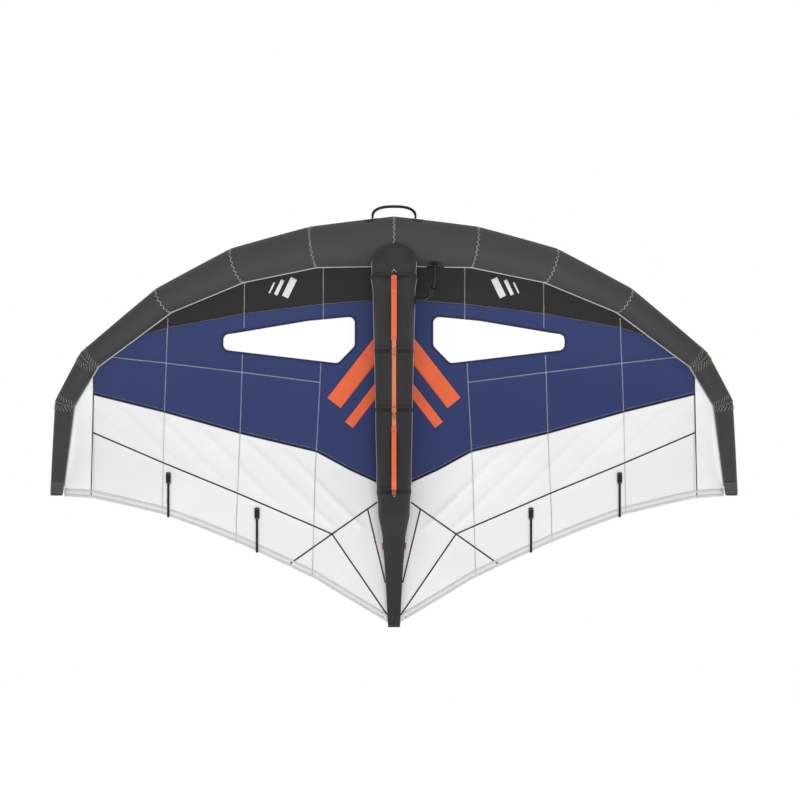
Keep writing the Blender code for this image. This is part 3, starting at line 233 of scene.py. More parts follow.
# %% [markdown]
# The wing's outline comes from a few lists of sizes: the corners where the nose tube's cloth panels
# are sewn together, and the trailing edge. The same numbers shape the solids, so both agree. Each
# list runs from the middle of the wing to one tip, and the other half is its mirror image.

# %% Sizes of the wing
HALF_SPAN = 1.730
NOSE_Z = -0.165
TIP_Z = -1.440
TAIL_Z = -2.095
TIP_RISE = 0.500
TIP_RADIUS = 0.031
CORNER_X = HALF_SPAN * np.array((0.0, 0.2335, 0.454, 0.667, 0.8827, 0.954, 0.978))
CORNER_Z = NOSE_Z + (TIP_Z - NOSE_Z) * np.array((0.0, 0.023, 0.095, 0.232, 0.464, 0.637, 1.0))
CORNER_RADIUS = TIP_RADIUS + 0.0915 * np.array((1.0, 0.776, 0.634, 0.415, 0.262, 0.197, 0.0))
BOW_HALF_WIDTH = 0.1075
BOW_RISE = TIP_RISE * 0.2335 * BOW_HALF_WIDTH / HALF_SPAN
CORNERS = np.stack((CORNER_X, TIP_RISE * (CORNER_X / HALF_SPAN) ** 2 - BOW_RISE, CORNER_Z), axis=1)
DIRECTIONS = unit(np.diff(CORNERS, axis=0))
LAST = len(CORNERS) - 1
PIPING_RADIUS = 0.0040
SEAM_ANGLE = math.radians(12)
EDGE_X = HALF_SPAN * np.array((0.0, 0.017, 0.142, 0.223, 0.329, 0.445, 0.558, 0.665, 0.795, 0.872, 0.98))
EDGE_Z = TIP_Z + (TAIL_Z - TIP_Z) * np.array(
    (0.98, 0.966, 0.769, 0.638, 0.504, 0.364, 0.244, 0.143, 0.061, 0.018, 0.0))
print("nose tube", round(2 * CORNER_RADIUS[0], 3), "m thick in the middle,", 2 * TIP_RADIUS, "at the tips")


def tube_axes(direction):
    """Two directions square to a tube: one towards the canopy and one towards the upper side."""
    up = np.array((0.0, 1.0, 0.0))
    up = unit(up - direction * np.dot(up, direction))
    return np.cross(up, direction), up


def corner_ring(corner, radius, angles):
    """Points round the tube in the plane where two panels meet: each point of a round section slides
    along its tube until it lies in that plane, and the two tubes' answers are averaged."""
    normal = np.array((1.0, 0.0, 0.0))
    if corner == LAST:
        normal = np.array((0.0, 0.0, -1.0))
    elif corner:
        normal = unit(DIRECTIONS[corner - 1] + DIRECTIONS[corner])
    found = []
    for segment in {max(corner - 1, 0), min(corner, LAST - 1)}:
        direction = DIRECTIONS[segment]
        back, up = tube_axes(direction)
        reach = radius * (np.outer(np.cos(angles), back) + np.outer(np.sin(angles), up))
        slide = reach @ normal / np.dot(direction, normal)
        found.append(CORNERS[corner] + reach - np.outer(slide, direction))
    return sum(found) / len(found)


# %% [markdown]
# On the real wing the nose is a tube of strong woven polyester, cut as straight tapered panels and
# sewn end to end, with a film bladder blown up hard inside. A round section is carried from corner
# to corner. Close to each seam the cloth is pulled in a little, and on the inner side of each bend
# it puckers, because there is more cloth there than length.

# %% Nose tube
NOSE_AROUND = 72
NOSE_STEPS = 30
RADIAN_OF_CLOTH = 0.09   # metres of flat pattern to one radian round a tube
SEAM_DIP = 0.0012
SEAM_DIP_WIDTH = 0.007
PANEL_SWELL = 0.0012
PUCKER_DEPTH = 0.0016
PUCKER_REACH = 0.045
PUCKERS = 34
MIDDLE_PUCKER = 0.3
DOME_RISE = 0.0055
TIP_DOME = ((0.97, 0.0030), (0.85, 0.0045), (0.5, 0.0050), (0.02, 0.0050))


def nose_grid():
    """Straight lines between the corner rings, moved in and out along the spoke: out by a sine in the
    middle of each panel, in by a bell at each seam, and by a cosine ripple times a fading bell where
    the bend is hollow."""
    angles = 2 * math.pi * np.arange(NOSE_AROUND) / NOSE_AROUND
    rows, lengths, centres, start = [], [], [], 0.0
    for k in range(LAST):
        first, last = (corner_ring(corner, CORNER_RADIUS[corner], angles) for corner in (k, k + 1))
        share = np.sin(np.linspace(0, math.pi / 2, NOSE_STEPS // 2 + 1)) ** 2 / 2
        share = np.concatenate((share, 1 - share[-2::-1]))
        share = share if k == LAST - 1 else share[:-1]
        length = np.linalg.norm(CORNERS[k + 1] - CORNERS[k])
        points = first + (last - first) * share[:, None, None]
        centre = CORNERS[k] + (CORNERS[k + 1] - CORNERS[k]) * share[:, None]
        spoke = unit(points - centre[:, None, :])
        near = np.minimum(share, 1 - share) * length
        hollow = np.clip(np.cos(angles), 0, 1) ** 2 * (0.4 + 0.6 * np.cos(angles * PUCKERS + 2 * k))
        bend = MIDDLE_PUCKER if k == 0 else 1.0
        dip = SEAM_DIP * np.exp(-(near / SEAM_DIP_WIDTH) ** 2)
        lift = (PANEL_SWELL * np.sin(math.pi * share) - dip)[:, None]
        lift = lift - bend * PUCKER_DEPTH * np.exp(-(near / PUCKER_REACH) ** 2)[:, None] * hollow
        rows.append(points + spoke * lift[:, :, None])
        centres.append(centre)
        lengths.append(start + length * share)
        start += length
    rows, centres, lengths = np.concatenate(rows), np.concatenate(centres), np.concatenate(lengths)
    end_spoke = rows[-1] - centres[-1]
    ends = [centres[-1] + end_spoke * size + np.array((0.0, 0.0, DOME_RISE - drop))
            for size, drop in TIP_DOME]
    rows[-1] += np.array((0.0, 0.0, DOME_RISE))
    rows = np.concatenate((rows, ends))
    lengths = np.concatenate((lengths, lengths[-1] + 0.01 * np.arange(1, len(TIP_DOME) + 1)))
    return rows, lengths


half, half_length = nose_grid()
other = half[:0:-1] * (-1.0, 1.0, 1.0)
nose_points = np.concatenate((other, half))
nose_length = np.concatenate((-half_length[:0:-1], half_length))
around = np.linspace(0, 2 * math.pi, NOSE_AROUND + 1)
nose_tube = closed("nose_tube", nose_points, stacked(nose_length[:, None], around * RADIAN_OF_CLOTH))
print("nose tube", nose_points.shape, "points, half length", round(float(half_length[-1]), 3), "m")


# %% [markdown]
# Two fittings go through the nose tube's cloth: the valve on the upper side, and the spigot of the
# hose beside the strut. The holes are real, because each fitting is hollow. Their places follow from
# a place along the span and an angle round the first panel.

# %% Holes in the nose tube
def drill(piece, origin, axis, radius, depth, rise):
    """Cuts a round hole: a closed cylinder along the axis, from below the surface to above it."""
    axis = unit(axis)
    first = unit(np.cross(axis, (0.3, 0.2, 0.9)))
    second = np.cross(axis, first)
    turn = 2 * math.pi * np.arange(32) / 32
    ring = radius * (np.outer(np.cos(turn), first) + np.outer(np.sin(turn), second))
    cut_away(piece, closed("bit", np.array([np.asarray(origin) + axis * h + ring for h in (-depth, rise)])))


def spokes(direction, angles):
    """Directions square to a tube at the given angles round it."""
    back, up = tube_axes(direction)
    return np.outer(np.cos(angles), back) + np.outer(np.sin(angles), up)


def first_panel(x):
    """The middle and the radius of the first nose panel at a place along the span."""
    share = x / CORNERS[1][0]
    radius = CORNER_RADIUS[0] + (CORNER_RADIUS[1] - CORNER_RADIUS[0]) * share
    return CORNERS[0] + (CORNERS[1] - CORNERS[0]) * share, radius


def nose_place(x, angle):
    """A point on the first panel and the way out of it: the spoke leans along the tube with its taper."""
    middle, radius = first_panel(x)
    spoke = spokes(DIRECTIONS[0], [angle])[0]
    taper = (CORNER_RADIUS[0] - CORNER_RADIUS[1]) / np.linalg.norm(CORNERS[1] - CORNERS[0])
    return middle + spoke * radius, unit(spoke + DIRECTIONS[0] * taper)


HOLE_RISE = 0.010
PORT_HOLE = (0.0106, 0.012, HOLE_RISE)   # radius, depth below the cloth and reach above it
VALVE_PLACE, VALVE_AXIS = nose_place(0.170, math.pi / 2)
PORT_PLACE, PORT_AXIS = nose_place(0.205, math.radians(-30))
drill(nose_tube, VALVE_PLACE, VALVE_AXIS, 0.0206, 0.018, HOLE_RISE)
drill(nose_tube, PORT_PLACE, PORT_AXIS, *PORT_HOLE)
print("valve at", VALVE_PLACE.round(4), "port at", PORT_PLACE.round(4))

# %% [markdown]
# The canopy is one sheet of thin ripstop polyester stretched behind the nose tube. Its height over
# every point of the plan is one formula, so the black, blue and white cloths meet without a step,
# and the hem, seams and battens find their place by asking the same formula.

# %% Canopy height
CAMBER_SHARE = 0.070
CAMBER_BIAS_SHARE = 0.5
EDGE_DROP = 0.030
CLOTH = 0.0009
SEAM_PULL = 0.0022
STRUT_TOP_Z = NOSE_Z - 0.008
FRONT = np.array([corner_ring(k, CORNER_RADIUS[k] + PIPING_RADIUS + 0.0003, np.array([SEAM_ANGLE]))[0]
                  for k in range(LAST + 1)])


def front_z(x):
    """Where the canopy starts behind the nose tube."""
    return np.interp(np.abs(x), FRONT[:, 0], FRONT[:, 2])


def edge_z(x):
    """Where the canopy ends: the trailing edge."""
    return np.interp(np.abs(x), EDGE_X, EDGE_Z)


def canopy_y(x, z):
    """Front edge height, plus a lifted arch: camber times chord times 4 s (1 - s), with its top moved
    forward by one plus half of (1 - 2 s), less a small drop of the trailing edge. s runs from 0 at
    the front edge to 1 at the back."""
    x = np.abs(x)
    front, edge = front_z(x), edge_z(x)
    chord = np.maximum(front - edge, 1e-4)
    s = np.clip((front - z) / chord, 0, 1)
    lean = 1 + CAMBER_BIAS_SHARE * (1 - 2 * s)
    y = np.interp(x, FRONT[:, 0], FRONT[:, 1])
    return y + CAMBER_SHARE * chord * 4 * s * (1 - s) * lean - EDGE_DROP * s * (1 - x / HALF_SPAN)


print("canopy", round(float(canopy_y(0.0, -1.0)), 3), "m above the handle plane at the middle of the strut")

# %% [markdown]
# Cloth under tension isn't a smooth formula. Each row of stitching pulls it in by a couple of
# millimetres, it swells a little between two seams, and the free trailing edge flutters. The
# sewing plan is therefore written down first, as lines in plan for the right half, and the cloth's
# height then asks how far each point is from the nearest seam.

# %% Sewing plan
WHITE_SEAMS = [
    [(0.3535, -0.296), (0.3535, -0.555)],
    [(0.365, -0.775), (0.3935, -1.310), (0.408, -1.840)],
    [(0.7475, -0.372), (0.7500, -0.597)],
    [(0.7580, -0.735), (0.770, -1.120), (0.788, -1.550), (0.790, -1.680)],
    [(1.1315, -0.550), (1.150, -1.020), (1.160, -1.530)],
    [(1.4175, -0.745), (1.145, -0.775), (0.7520, -0.8225), (0.371, -0.872)],
]
BLACK_TO_BLUE = np.array((
    (0.0, -0.456), (0.118, -0.462), (0.3535, -0.4795), (0.7465, -0.527), (1.1315, -0.5975), (1.249, -0.6345)))
BLUE_TO_WHITE = np.array((
    (0.0, -1.410), (0.0835, -1.3725), (0.220, -1.310), (0.385, -1.220), (0.765, -1.129), (1.150, -1.0215),
    (1.5086, -0.933)))
TAPE_SEAMS = [
    [(1.511, -1.1225), (1.155, -1.2745), (0.7835, -1.426), (0.395, -1.5925), (0.310, -1.630)],
    [(0.310, -1.630), (0.085, -1.4715)],
    [(0.310, -1.630), (0.518, -1.777)],
    [(0.310, -1.630), (0.033, -2.035)],
    [(0.1315, -1.508), (0.0435, -1.8735)],
    [(1.504, -0.830), (1.511, -1.120), (1.518, -1.450)],
]
print(len(WHITE_SEAMS), "stitched seams and", len(TAPE_SEAMS), "taped ones on each half")


# %% [markdown]
# The cloth's height is the formula of the canopy plus everything that the seams and the wind do to
# it. Distances to the seams are taken in plan, and bells, which are one on a line and fade to
# nothing beside it, turn a distance into a dip or a crease.

# %% Soft cloth
def near_line(x, z, line):
    """Distance in plan from each point to a line: for each straight part, the foot of the point on
    it, held between its two ends."""
    best = np.full(np.shape(x), 9.0)
    for (x0, z0), (x1, z1) in zip(line[:-1], line[1:]):
        along = (x - x0) * (x1 - x0) + (z - z0) * (z1 - z0)
        share = np.clip(along / ((x1 - x0) ** 2 + (z1 - z0) ** 2), 0, 1)
        best = np.minimum(best, np.hypot(x - x0 - share * (x1 - x0), z - z0 - share * (z1 - z0)))
    return best


def ease(share):
    """A smooth step: 3 s^2 - 2 s^3, held between 0 and 1."""
    share = np.clip(share, 0, 1)
    return share * share * (3 - 2 * share)


CREASES = (2.512, 2.370, 2.225, 2.073, 1.905, 1.760)
CREASE_HEIGHT = 0.0080
CREASE_WIDTH = 0.022
SEAM_WIDTH = 0.011
SWELL = 0.0016
FLUTTER = 0.0040
FLUTTER_LENGTH = 0.196


def crease_rise(x, z):
    """Pull creases in the white cloth, which run down towards the tail at 45 degrees: bells across
    the lines x - z = constant, between the blue edge and the dark tape."""
    inside = (ease((np.interp(x, *BLUE_TO_WHITE.T) - z - 0.01) / 0.05)
              * ease((z - np.interp(x, *np.array(TAPE_SEAMS[0])[::-1].T)) / 0.06) * ease((1.49 - x) / 0.03))
    return sum(CREASE_HEIGHT * inside * np.exp(-((x - z - place) / CREASE_WIDTH) ** 2) for place in CREASES)


def cloth_y(x, z):
    """Canopy height with its softness: away from the nose the formula is averaged over 14 cm of
    span, so the nose tube's corners fade out. Then a bell pulls it in at each seam, a broad sine
    swells it between them, and a wave that dies out over 12 cm flutters the trailing edge."""
    sign = np.sign(x)
    x = np.abs(x)
    front, edge = front_z(x), edge_z(x)
    share = np.clip((front - z) / np.maximum(front - edge, 1e-4), 0, 1)
    soft = sum(canopy_y(x + step, z) for step in np.linspace(-0.07, 0.07, 5)) / 5
    y = canopy_y(x, z) + (soft - canopy_y(x, z)) * ease(share / 0.3) * ease((1.5 - x) / 0.2)
    free = ease(share / 0.12) * ease((x - 0.05) / 0.10)
    for line in WHITE_SEAMS + [BLACK_TO_BLUE, BLUE_TO_WHITE] + TAPE_SEAMS:
        y = y - SEAM_PULL * free * np.exp(-(near_line(x, z, line) / SEAM_WIDTH) ** 2)
    y = y + SWELL * free * np.sin(19 * x + 7 * z + 0.6 * sign) * np.sin(13 * z - 5 * x) - crease_rise(x, z)
    flutter = np.exp(-((z - edge) / 0.06) ** 2) * ease((x - 0.08) / 0.2) * ease((1.5 - x) / 0.15)
    return y + FLUTTER * flutter * np.sin(2 * math.pi * x / FLUTTER_LENGTH + 0.9 * sign)


def on_cloth(x, z, lift):
    """Points of the plan put at the cloth's height, a lift above it."""
    return stacked(x, cloth_y(x, z) + lift, z)


print("cloth", round(float(cloth_y(0.8, -1.0)), 3), "m above the handle plane amid the right half")

# %% [markdown]
# A panel of canopy cloth is a grid of points: columns across the span, and rows from its front line
# to its back line. The columns include every corner of both lines, so that no corner is cut off.
# Its plan position is also its flat pattern, because the cloth is nearly flat.

# %% Canopy panel grids
BAND_END = HALF_SPAN * 0.735
TIP_SEAM = HALF_SPAN * 0.872
TIP_END = HALF_SPAN * 0.955
HEM_WIDTH = 0.040
KNOTS = np.concatenate((FRONT[:, 0], EDGE_X, BLACK_TO_BLUE[:, 0], BLUE_TO_WHITE[:, 0]))


def band_z(x):
    """Where black meets blue; past the black band's end the blue starts at the nose tube."""
    line = np.interp(np.abs(x), *BLACK_TO_BLUE.T)
    return np.where(np.abs(x) < BAND_END, np.minimum(line, front_z(x) - 1e-5), front_z(x) - 1e-5)


def colour_z(x):
    """Where blue meets white."""
    return np.interp(np.abs(x), *BLUE_TO_WHITE.T)


def hem_z(x):
    """Where the hem's fold starts."""
    return edge_z(x) + HEM_WIDTH


def columns(start, end, step):
    """Places along the span about a step apart, moved onto the corners that lie between them."""
    x = np.linspace(start, end, int(round((end - start) / step)) + 1)
    for knot in np.concatenate((KNOTS, -KNOTS)):
        if start + step < knot < end - step:
            x[np.argmin(np.abs(x - knot))] = knot
    return np.unique(x)


def cloth_grid(x, top, bottom, rows, lift=0.0):
    """Rows evenly spaced from the top line to the bottom line, at the cloth's height plus a lift."""
    z = top(x) + (bottom(x) - top(x)) * np.linspace(0, 1, rows + 1)[:, None]
    x = np.broadcast_to(x, z.shape)
    return on_cloth(x, z, lift), stacked(x, z)


def cloth_area(points):
    """Half the length of each square's crossed diagonals' product, added up."""
    first, second = points[1:, 1:] - points[:-1, :-1], points[1:, :-1] - points[:-1, 1:]
    return float(np.linalg.norm(np.cross(first, second), axis=2).sum() / 2)


# %% [markdown]
# A sewn cloth was cut flat before it was stretched. Each panel notes its flat width, length and
# area.

# %% Canopy panels
def note_cut(piece, points, spare=1.0):
    """Notes the size that a cloth was cut to: its width, its length with a spare share, its area."""
    piece["flat_width"] = float(np.ptp(points[..., 0]))
    piece["flat_length"] = float(np.ptp(points[..., 2])) * spare
    piece["flat_area"] = cloth_area(points)
    return piece


def cloth_panel(name, x, top, bottom, rows):
    """A panel between two lines; its length has 2 % spare, because the cloth is arched."""
    points, uv = cloth_grid(x, top, bottom, rows)
    return note_cut(wall(surface(name, points, uv), CLOTH), points, 1.02)


CLOTH_STEP = 0.013
TIP_STEP = 0.012
canopy_black = cloth_panel("canopy_black", columns(-BAND_END, BAND_END, CLOTH_STEP), front_z, band_z, 18)
canopy_blue = cloth_panel("canopy_blue", columns(-TIP_SEAM, TIP_SEAM, CLOTH_STEP), band_z, colour_z, 64)
canopy_white = cloth_panel("canopy_white", columns(-TIP_SEAM, TIP_SEAM, CLOTH_STEP), colour_z, edge_z, 64)
canopy_tips = [cloth_panel(f"tip_cloth_{side}", columns(start, end, TIP_STEP), front_z, edge_z, 48)
               for side, start, end in (("right", TIP_SEAM, TIP_END), ("left", -TIP_END, -TIP_SEAM))]
for piece in (canopy_black, canopy_blue, canopy_white, *canopy_tips):
    print(piece.name, "cut", round(piece["flat_width"], 3), "x", round(piece["flat_length"], 3),
          "m, area", round(piece["flat_area"], 3), "m2")

# %% [markdown]
# Each window is a clear film set in the blue cloth, with a cloth border sewn round it. Its outline
# is a seven-sided figure with rounded corners. The hole is cut from the blue cloth with a straight
# prism. The film is made of rings that shrink towards the window's middle, and the border of rings
# that follow its edge, all laid on the cloth's own height.

# %% Windows
WINDOW_X = HALF_SPAN * np.array((0.1127, 0.1127, 0.1618, 0.4942, 0.4942, 0.4624, 0.2474))
WINDOW_Z = NOSE_Z + (TAIL_Z - NOSE_Z) * np.array((0.1948, 0.2720, 0.3174, 0.2824, 0.2422, 0.2385, 0.2062))
WINDOW_CORNER = 0.030
WINDOW_STEP = 0.008
BORDER_WIDTH = 0.009
BORDER_LAP = 0.0015
BORDER_FACES = (("under", -0.0011), ("upper", 0.0019))   # how far each border lies off the cloth
BORDER_THICK = 0.0006
FILM_THICK = 0.0005
FILM_RINGS = 26


def rounded(corners, radius, steps=8):
    """Each corner becomes an arc: its centre lies on the corner's bisector, at the radius over the
    sine of half the angle, and the arc turns between the two points where it touches the sides."""
    before = unit(np.roll(corners, 1, axis=0) - corners)
    after = unit(np.roll(corners, -1, axis=0) - corners)
    half = np.arccos(np.clip((before * after).sum(axis=1), -1, 1)) / 2
    centre = corners + unit(before + after) * (radius / np.sin(half))[:, None]
    start = corners + before * (radius / np.tan(half))[:, None] - centre
    end = corners + after * (radius / np.tan(half))[:, None] - centre
    turn = np.arctan2(start[:, 0] * end[:, 1] - start[:, 1] * end[:, 0], (start * end).sum(axis=1))
    angle = turn[:, None] * np.linspace(0, 1, steps + 1)
    c, s = np.cos(angle), np.sin(angle)
    x = c * start[:, :1] - s * start[:, 1:]
    z = s * start[:, :1] + c * start[:, 1:]
    return (centre[:, None, :] + np.stack((x, z), axis=2)).reshape(-1, 2)


def resampled(line, step, closed=False):
    """Points about a step apart along a line, found by its length."""
    line = np.asarray(line, float)
    line = np.concatenate((line, line[:1])) if closed else line
    length = run_length(line)
    count = max(int(round(length[-1] / step)), 2)
    wanted = np.linspace(0, length[-1], count + 1)
    wanted = wanted[:-1] if closed else wanted
    return np.stack([np.interp(wanted, length, line[:, i]) for i in range(line.shape[1])], axis=1)


WINDOW = resampled(rounded(stacked(WINDOW_X, WINDOW_Z), WINDOW_CORNER), WINDOW_STEP, closed=True)
WINDOW_MIDDLE = WINDOW.mean(axis=0)
WINDOW_OUT = WINDOW - np.roll(WINDOW, 1, axis=0) + np.roll(WINDOW, -1, axis=0) - WINDOW
WINDOW_OUT = unit(WINDOW_OUT)[:, ::-1] * (-1, 1)
WINDOW_OUT *= np.sign((WINDOW_OUT * (WINDOW - WINDOW_MIDDLE)).sum(axis=1))[:, None]
print("window", (np.ptp(WINDOW, axis=0) * 1000).round(), "mm")


def window_rings(sign, rings, lift):
    """Closed rings in plan, put at the cloth's height plus a lift; the pattern repeats its start."""
    x, z = sign * rings[..., 0], rings[..., 1]
    uv = stacked(x, z)
    return on_cloth(x, z, lift), np.concatenate((uv, uv[:, :1]), axis=1)


# %% [markdown]
# The blue cloth gets its thickness first, so that the prisms cut through a closed wall and leave
# clean edges. Then each side gets its film and two borders, one on each face of the cloth.

# %% Window films and borders
bpy.context.view_layer.objects.active = canopy_blue
bpy.ops.object.modifier_apply(modifier="wall")
windows, borders = [], []
for side, sign in (("right", 1), ("left", -1)):
    prism = np.array([np.insert(WINDOW * (sign, 1), 1, y, axis=1) for y in (-0.5, 0.9)])
    cut_away(canopy_blue, closed("prism", prism))
    reach = np.linspace(0.0, 1.0, FILM_RINGS)[:, None, None]
    film = WINDOW_MIDDLE + (WINDOW + WINDOW_OUT * BORDER_WIDTH / 2 - WINDOW_MIDDLE) * reach
    points, uv = window_rings(sign, film, CLOTH)
    pane = wall(face_out(surface(f"window_pane_{side}", points, uv, around=True)), FILM_THICK)
    windows.append(note_cut(pane, np.concatenate((points, points[:, :1]), axis=1)))
    for face, lift in BORDER_FACES:
        ring = WINDOW + WINDOW_OUT * np.linspace(-BORDER_LAP, BORDER_WIDTH, 5)[:, None, None]
        points, uv = window_rings(sign, ring, lift)
        borders.append(wall(surface(f"window_border_{side}_{face}", points, uv, around=True), BORDER_THICK))
print(len(windows), "films and", len(borders), "borders")

# %% [markdown]
# The strut is a second inflated tube under the middle of the canopy. It swells and narrows along
# its length where the handles are sewn on, and its tail is flat. Its section is an ellipse whose
# width, depth and middle come from a table, and the table is smoothed, because cloth under
# pressure has no corners along it. The front end is a ball sewn against the nose tube.

# %% Strut
STRUT_LENGTH = STRUT_TOP_Z - TAIL_Z
HEAD_RADIUS = 0.111
TAIL_CAP = 0.006
# Places as shares of the strut's length; half widths and half depths as shares of the ball's radius.
# Both tables start alike, because the front part is round, and only the tail is flat.
STRUT_PLACES = np.array((
    0.0578, 0.078, 0.0895, 0.123, 0.201, 0.279, 0.345, 0.410, 0.5135, 0.592, 0.649, 0.670,
    0.709, 0.761, 0.854, 0.917, 0.993, 1.0))
ROUND_PART = (1.0, 0.973, 1.030, 0.932, 0.910, 0.869, 0.845, 0.820, 0.793, 0.757, 0.775, 0.725)
STRUT_WIDTHS = np.array((*ROUND_PART, 0.707, 0.5225, 0.401, 0.338, 0.276, 0.270))
STRUT_DEPTHS = np.array((*ROUND_PART, 0.690, 0.440, 0.290, 0.210, 0.146, 0.140))
ANCHOR_Z = STRUT_TOP_Z - STRUT_LENGTH * np.array((0.0905, 0.282, 0.4355, 0.649))
BALL_Z = STRUT_TOP_Z - HEAD_RADIUS
STRUT_AROUND = 72
PINCH_DEPTH = 0.0016
PINCH_REACH = 0.010
CROWN_GAP = 0.0026


def smooth_table(z, values):
    """A straight-line table read at five places up to 12 mm round z and averaged."""
    places = STRUT_TOP_Z - STRUT_LENGTH * STRUT_PLACES
    reach = 0.012 * ease((BALL_Z - z) / 0.02)
    return sum(np.interp(-(z + reach * step), -places, values) for step in (-1, -0.5, 0, 0.5, 1)) / 5


def strut_size(z):
    """Half width and half depth, each drawn in a little by the bands round the handle patches."""
    bands = ANCHOR_Z + (0.018, 0, 0, 0)
    pinch = sum(np.exp(-((z - band) / PINCH_REACH) ** 2) for band in bands) * PINCH_DEPTH
    return tuple(HEAD_RADIUS * smooth_table(z, table) - pinch for table in (STRUT_WIDTHS, STRUT_DEPTHS))


def strut_middle(z):
    """Behind the ball the strut hangs just under the canopy by its own half depth."""
    z = np.minimum(z, BALL_Z)
    crown = canopy_y(0.0, np.minimum(z, front_z(0.0))) - CROWN_GAP
    return crown - np.where(z < BALL_Z, HEAD_RADIUS * smooth_table(z, STRUT_DEPTHS), HEAD_RADIUS)


def strut_point(z, angle, lift=0.0):
    """A point on the strut, or a lift above it: the ellipse at that place along the strut."""
    width, depth = strut_size(z)
    return stacked((width + lift) * np.cos(angle), strut_middle(z) + (depth + lift) * np.sin(angle), z)


print("strut", round(STRUT_LENGTH, 3), "m long,", 2 * HEAD_RADIUS, "m thick at the ball")

# %% [markdown]
# The strut's mesh is rings from the ball's pole to the tail: the ball's own rings first, and then the
# ellipses of the table. Its right side has the hole for the hose's second spigot.

# %% Strut mesh
turn = 2 * math.pi * np.arange(STRUT_AROUND) / STRUT_AROUND
lean = np.linspace(0, math.pi / 2, 18)[:-1, None]
head = stacked(HEAD_RADIUS * np.sin(lean) * np.cos(turn),
               strut_middle(BALL_Z) + HEAD_RADIUS * np.sin(lean) * np.sin(turn),
               BALL_Z + HEAD_RADIUS * np.cos(lean))
tube_z = np.linspace(BALL_Z, TAIL_Z + TAIL_CAP + 0.0003, 260)
strut_points = np.concatenate((head, strut_point(tube_z[:, None], turn)))
strut_along = np.concatenate((BALL_Z + HEAD_RADIUS * (math.pi / 2 - lean[:, 0]), tube_z))
strut_uv = stacked(strut_along[:, None], np.linspace(0, 2 * math.pi, STRUT_AROUND + 1) * RADIAN_OF_CLOTH)
strut_sleeve = closed("strut_sleeve", strut_points, strut_uv)
ACROSS = np.array((1.0, 0.0, 0.0))
STRUT_PORT = strut_point(STRUT_TOP_Z - STRUT_LENGTH * 0.150, 0.0)
drill(strut_sleeve, STRUT_PORT, ACROSS, *PORT_HOLE)
print("strut", strut_points.shape, "points, port at", STRUT_PORT.round(4))

# %% [markdown]
# The tube's casing is a heavy woven polyester with a dull face. Its threads lie about a quarter of
# a millimetre apart, which no render of the whole wing can show, so the weave is drawn at 4 mm as a
# faint bump, and only slow changes of tone are drawn at their own size. These are a random drift,
# painted shade towards the nose tube's tips, and a painted highlight on the strut's head. The
# cloth's smooth fibres give a light rim where it turns away from the eye.

# %% Casing cloth
CASING_PITCH = 0.004
MULTIPLIED = {"data_type": "RGBA", "blend_type": "MULTIPLY"}


def tone(tree, code, scale, spread, detail=3.0, stretch=(1.0, 1.0, 1.0)):
    """A colour that drifts: noise on the object's own position, kept within a small spread."""
    place = add(tree, "TexCoord").outputs["Object"]
    place = add(tree, "Mapping", Vector=place, Scale=stretch).outputs[0]
    noise = add(tree, "TexNoise", Vector=place, Scale=scale, Detail=detail).outputs[0]
    value = add(tree, "MapRange", _0=noise, _1=0.3, _2=0.7, _3=1 - spread, _4=1 + spread * 0.5).outputs[0]
    return add(tree, "Mix", MULTIPLIED, _0=1.0, _6=linear(code), _7=value).outputs[2]


def waves(tree, operation, *lengths):
    """On the flat pattern, a wave along the cloth and a wave across it, each with its own length."""
    flat = add(tree, "SeparateXYZ", Vector=add(tree, "UVMap", {"uv_map": "flat"}).outputs[0])
    found = []
    for way, length in zip(flat.outputs, lengths):
        turn = add(tree, "Math", {"operation": "MULTIPLY"}, _0=way, _1=2 * math.pi / length).outputs[0]
        found.append(add(tree, "Math", {"operation": operation}, _0=turn).outputs[0])
    return found


def make_casing(name, code, axis, start, end, near, far):
    """Crossing threads: a sine wave for each direction, of which the higher one wins. The tone
    drifts, and from start to end along an axis its share goes from near to far: painted shade on
    the nose tube's tips and a painted highlight on the strut's head, which turn to the light in
    another way than the middle."""
    look, tree, shader = new_look(name, 0.60, sheen=0.06, specular=0.25)
    place = add(tree, "TexCoord").outputs["Object"]
    out = add(tree, "SeparateXYZ", Vector=place).outputs[axis]
    out = add(tree, "Math", {"operation": "ABSOLUTE"}, _0=out).outputs[0]
    # Painted shade and painted highlight: the colour's share changes along one axis.
    share = add(tree, "MapRange", _0=out, _1=start, _2=end, _3=near, _4=far).outputs[0]
    colour = add(tree, "Mix", MULTIPLIED, _0=1.0, _6=tone(tree, code, 2.5, 0.05), _7=share).outputs[2]
    warp, weft = waves(tree, "SINE", CASING_PITCH, CASING_PITCH)
    weave = add(tree, "Math", {"operation": "MAXIMUM"}, _0=warp, _1=weft).outputs[0]
    soft = add(tree, "TexNoise", Vector=place, Scale=9.0, Detail=2.0).outputs[0]
    height = add(tree, "Math", {"operation": "MULTIPLY_ADD"}, _0=soft, _1=6.0, _2=weave).outputs[0]
    lay(tree, shader, colour, height, 0.00018)
    return look


# The nose casing is painted darker towards its tips (painted shade), and the strut's casing lighter at its
# head (painted highlight).
casing_cloth = make_casing("woven_polyester_casing", "#3C3C3C", 0, 0.9, 1.6, 1.0, 0.76)
dark_casing = make_casing("darker_woven_casing", "#272727", 2, 0.20, 0.34, 1.28, 1.0)
print(casing_cloth.name, "and", dark_casing.name)

# %% [markdown]
# The canopy is ripstop: thin polyester with a thicker thread every 6 mm in both directions, coated
# so that air doesn't pass. The grid shows close by as fine raised lines, with a faint painted
# highlight on the ridges. The coating gives a soft gloss. The white cloth comes in three shades of
# one cloth: the hem, which is folded, is painted darker as painted shade, and the tips are painted
# lighter as painted light, because they stand more square to the light.

# %% Ripstop cloth
RIPSTOP_PITCH = 0.006
# The white cloth's random tone drift is stretched into streaks, as painted shade of its creases.
WHITE_CREASE_SHADE_STRETCH = (1.0, 0.3, 2.2)   # the white cloth's tone drifts along its creases


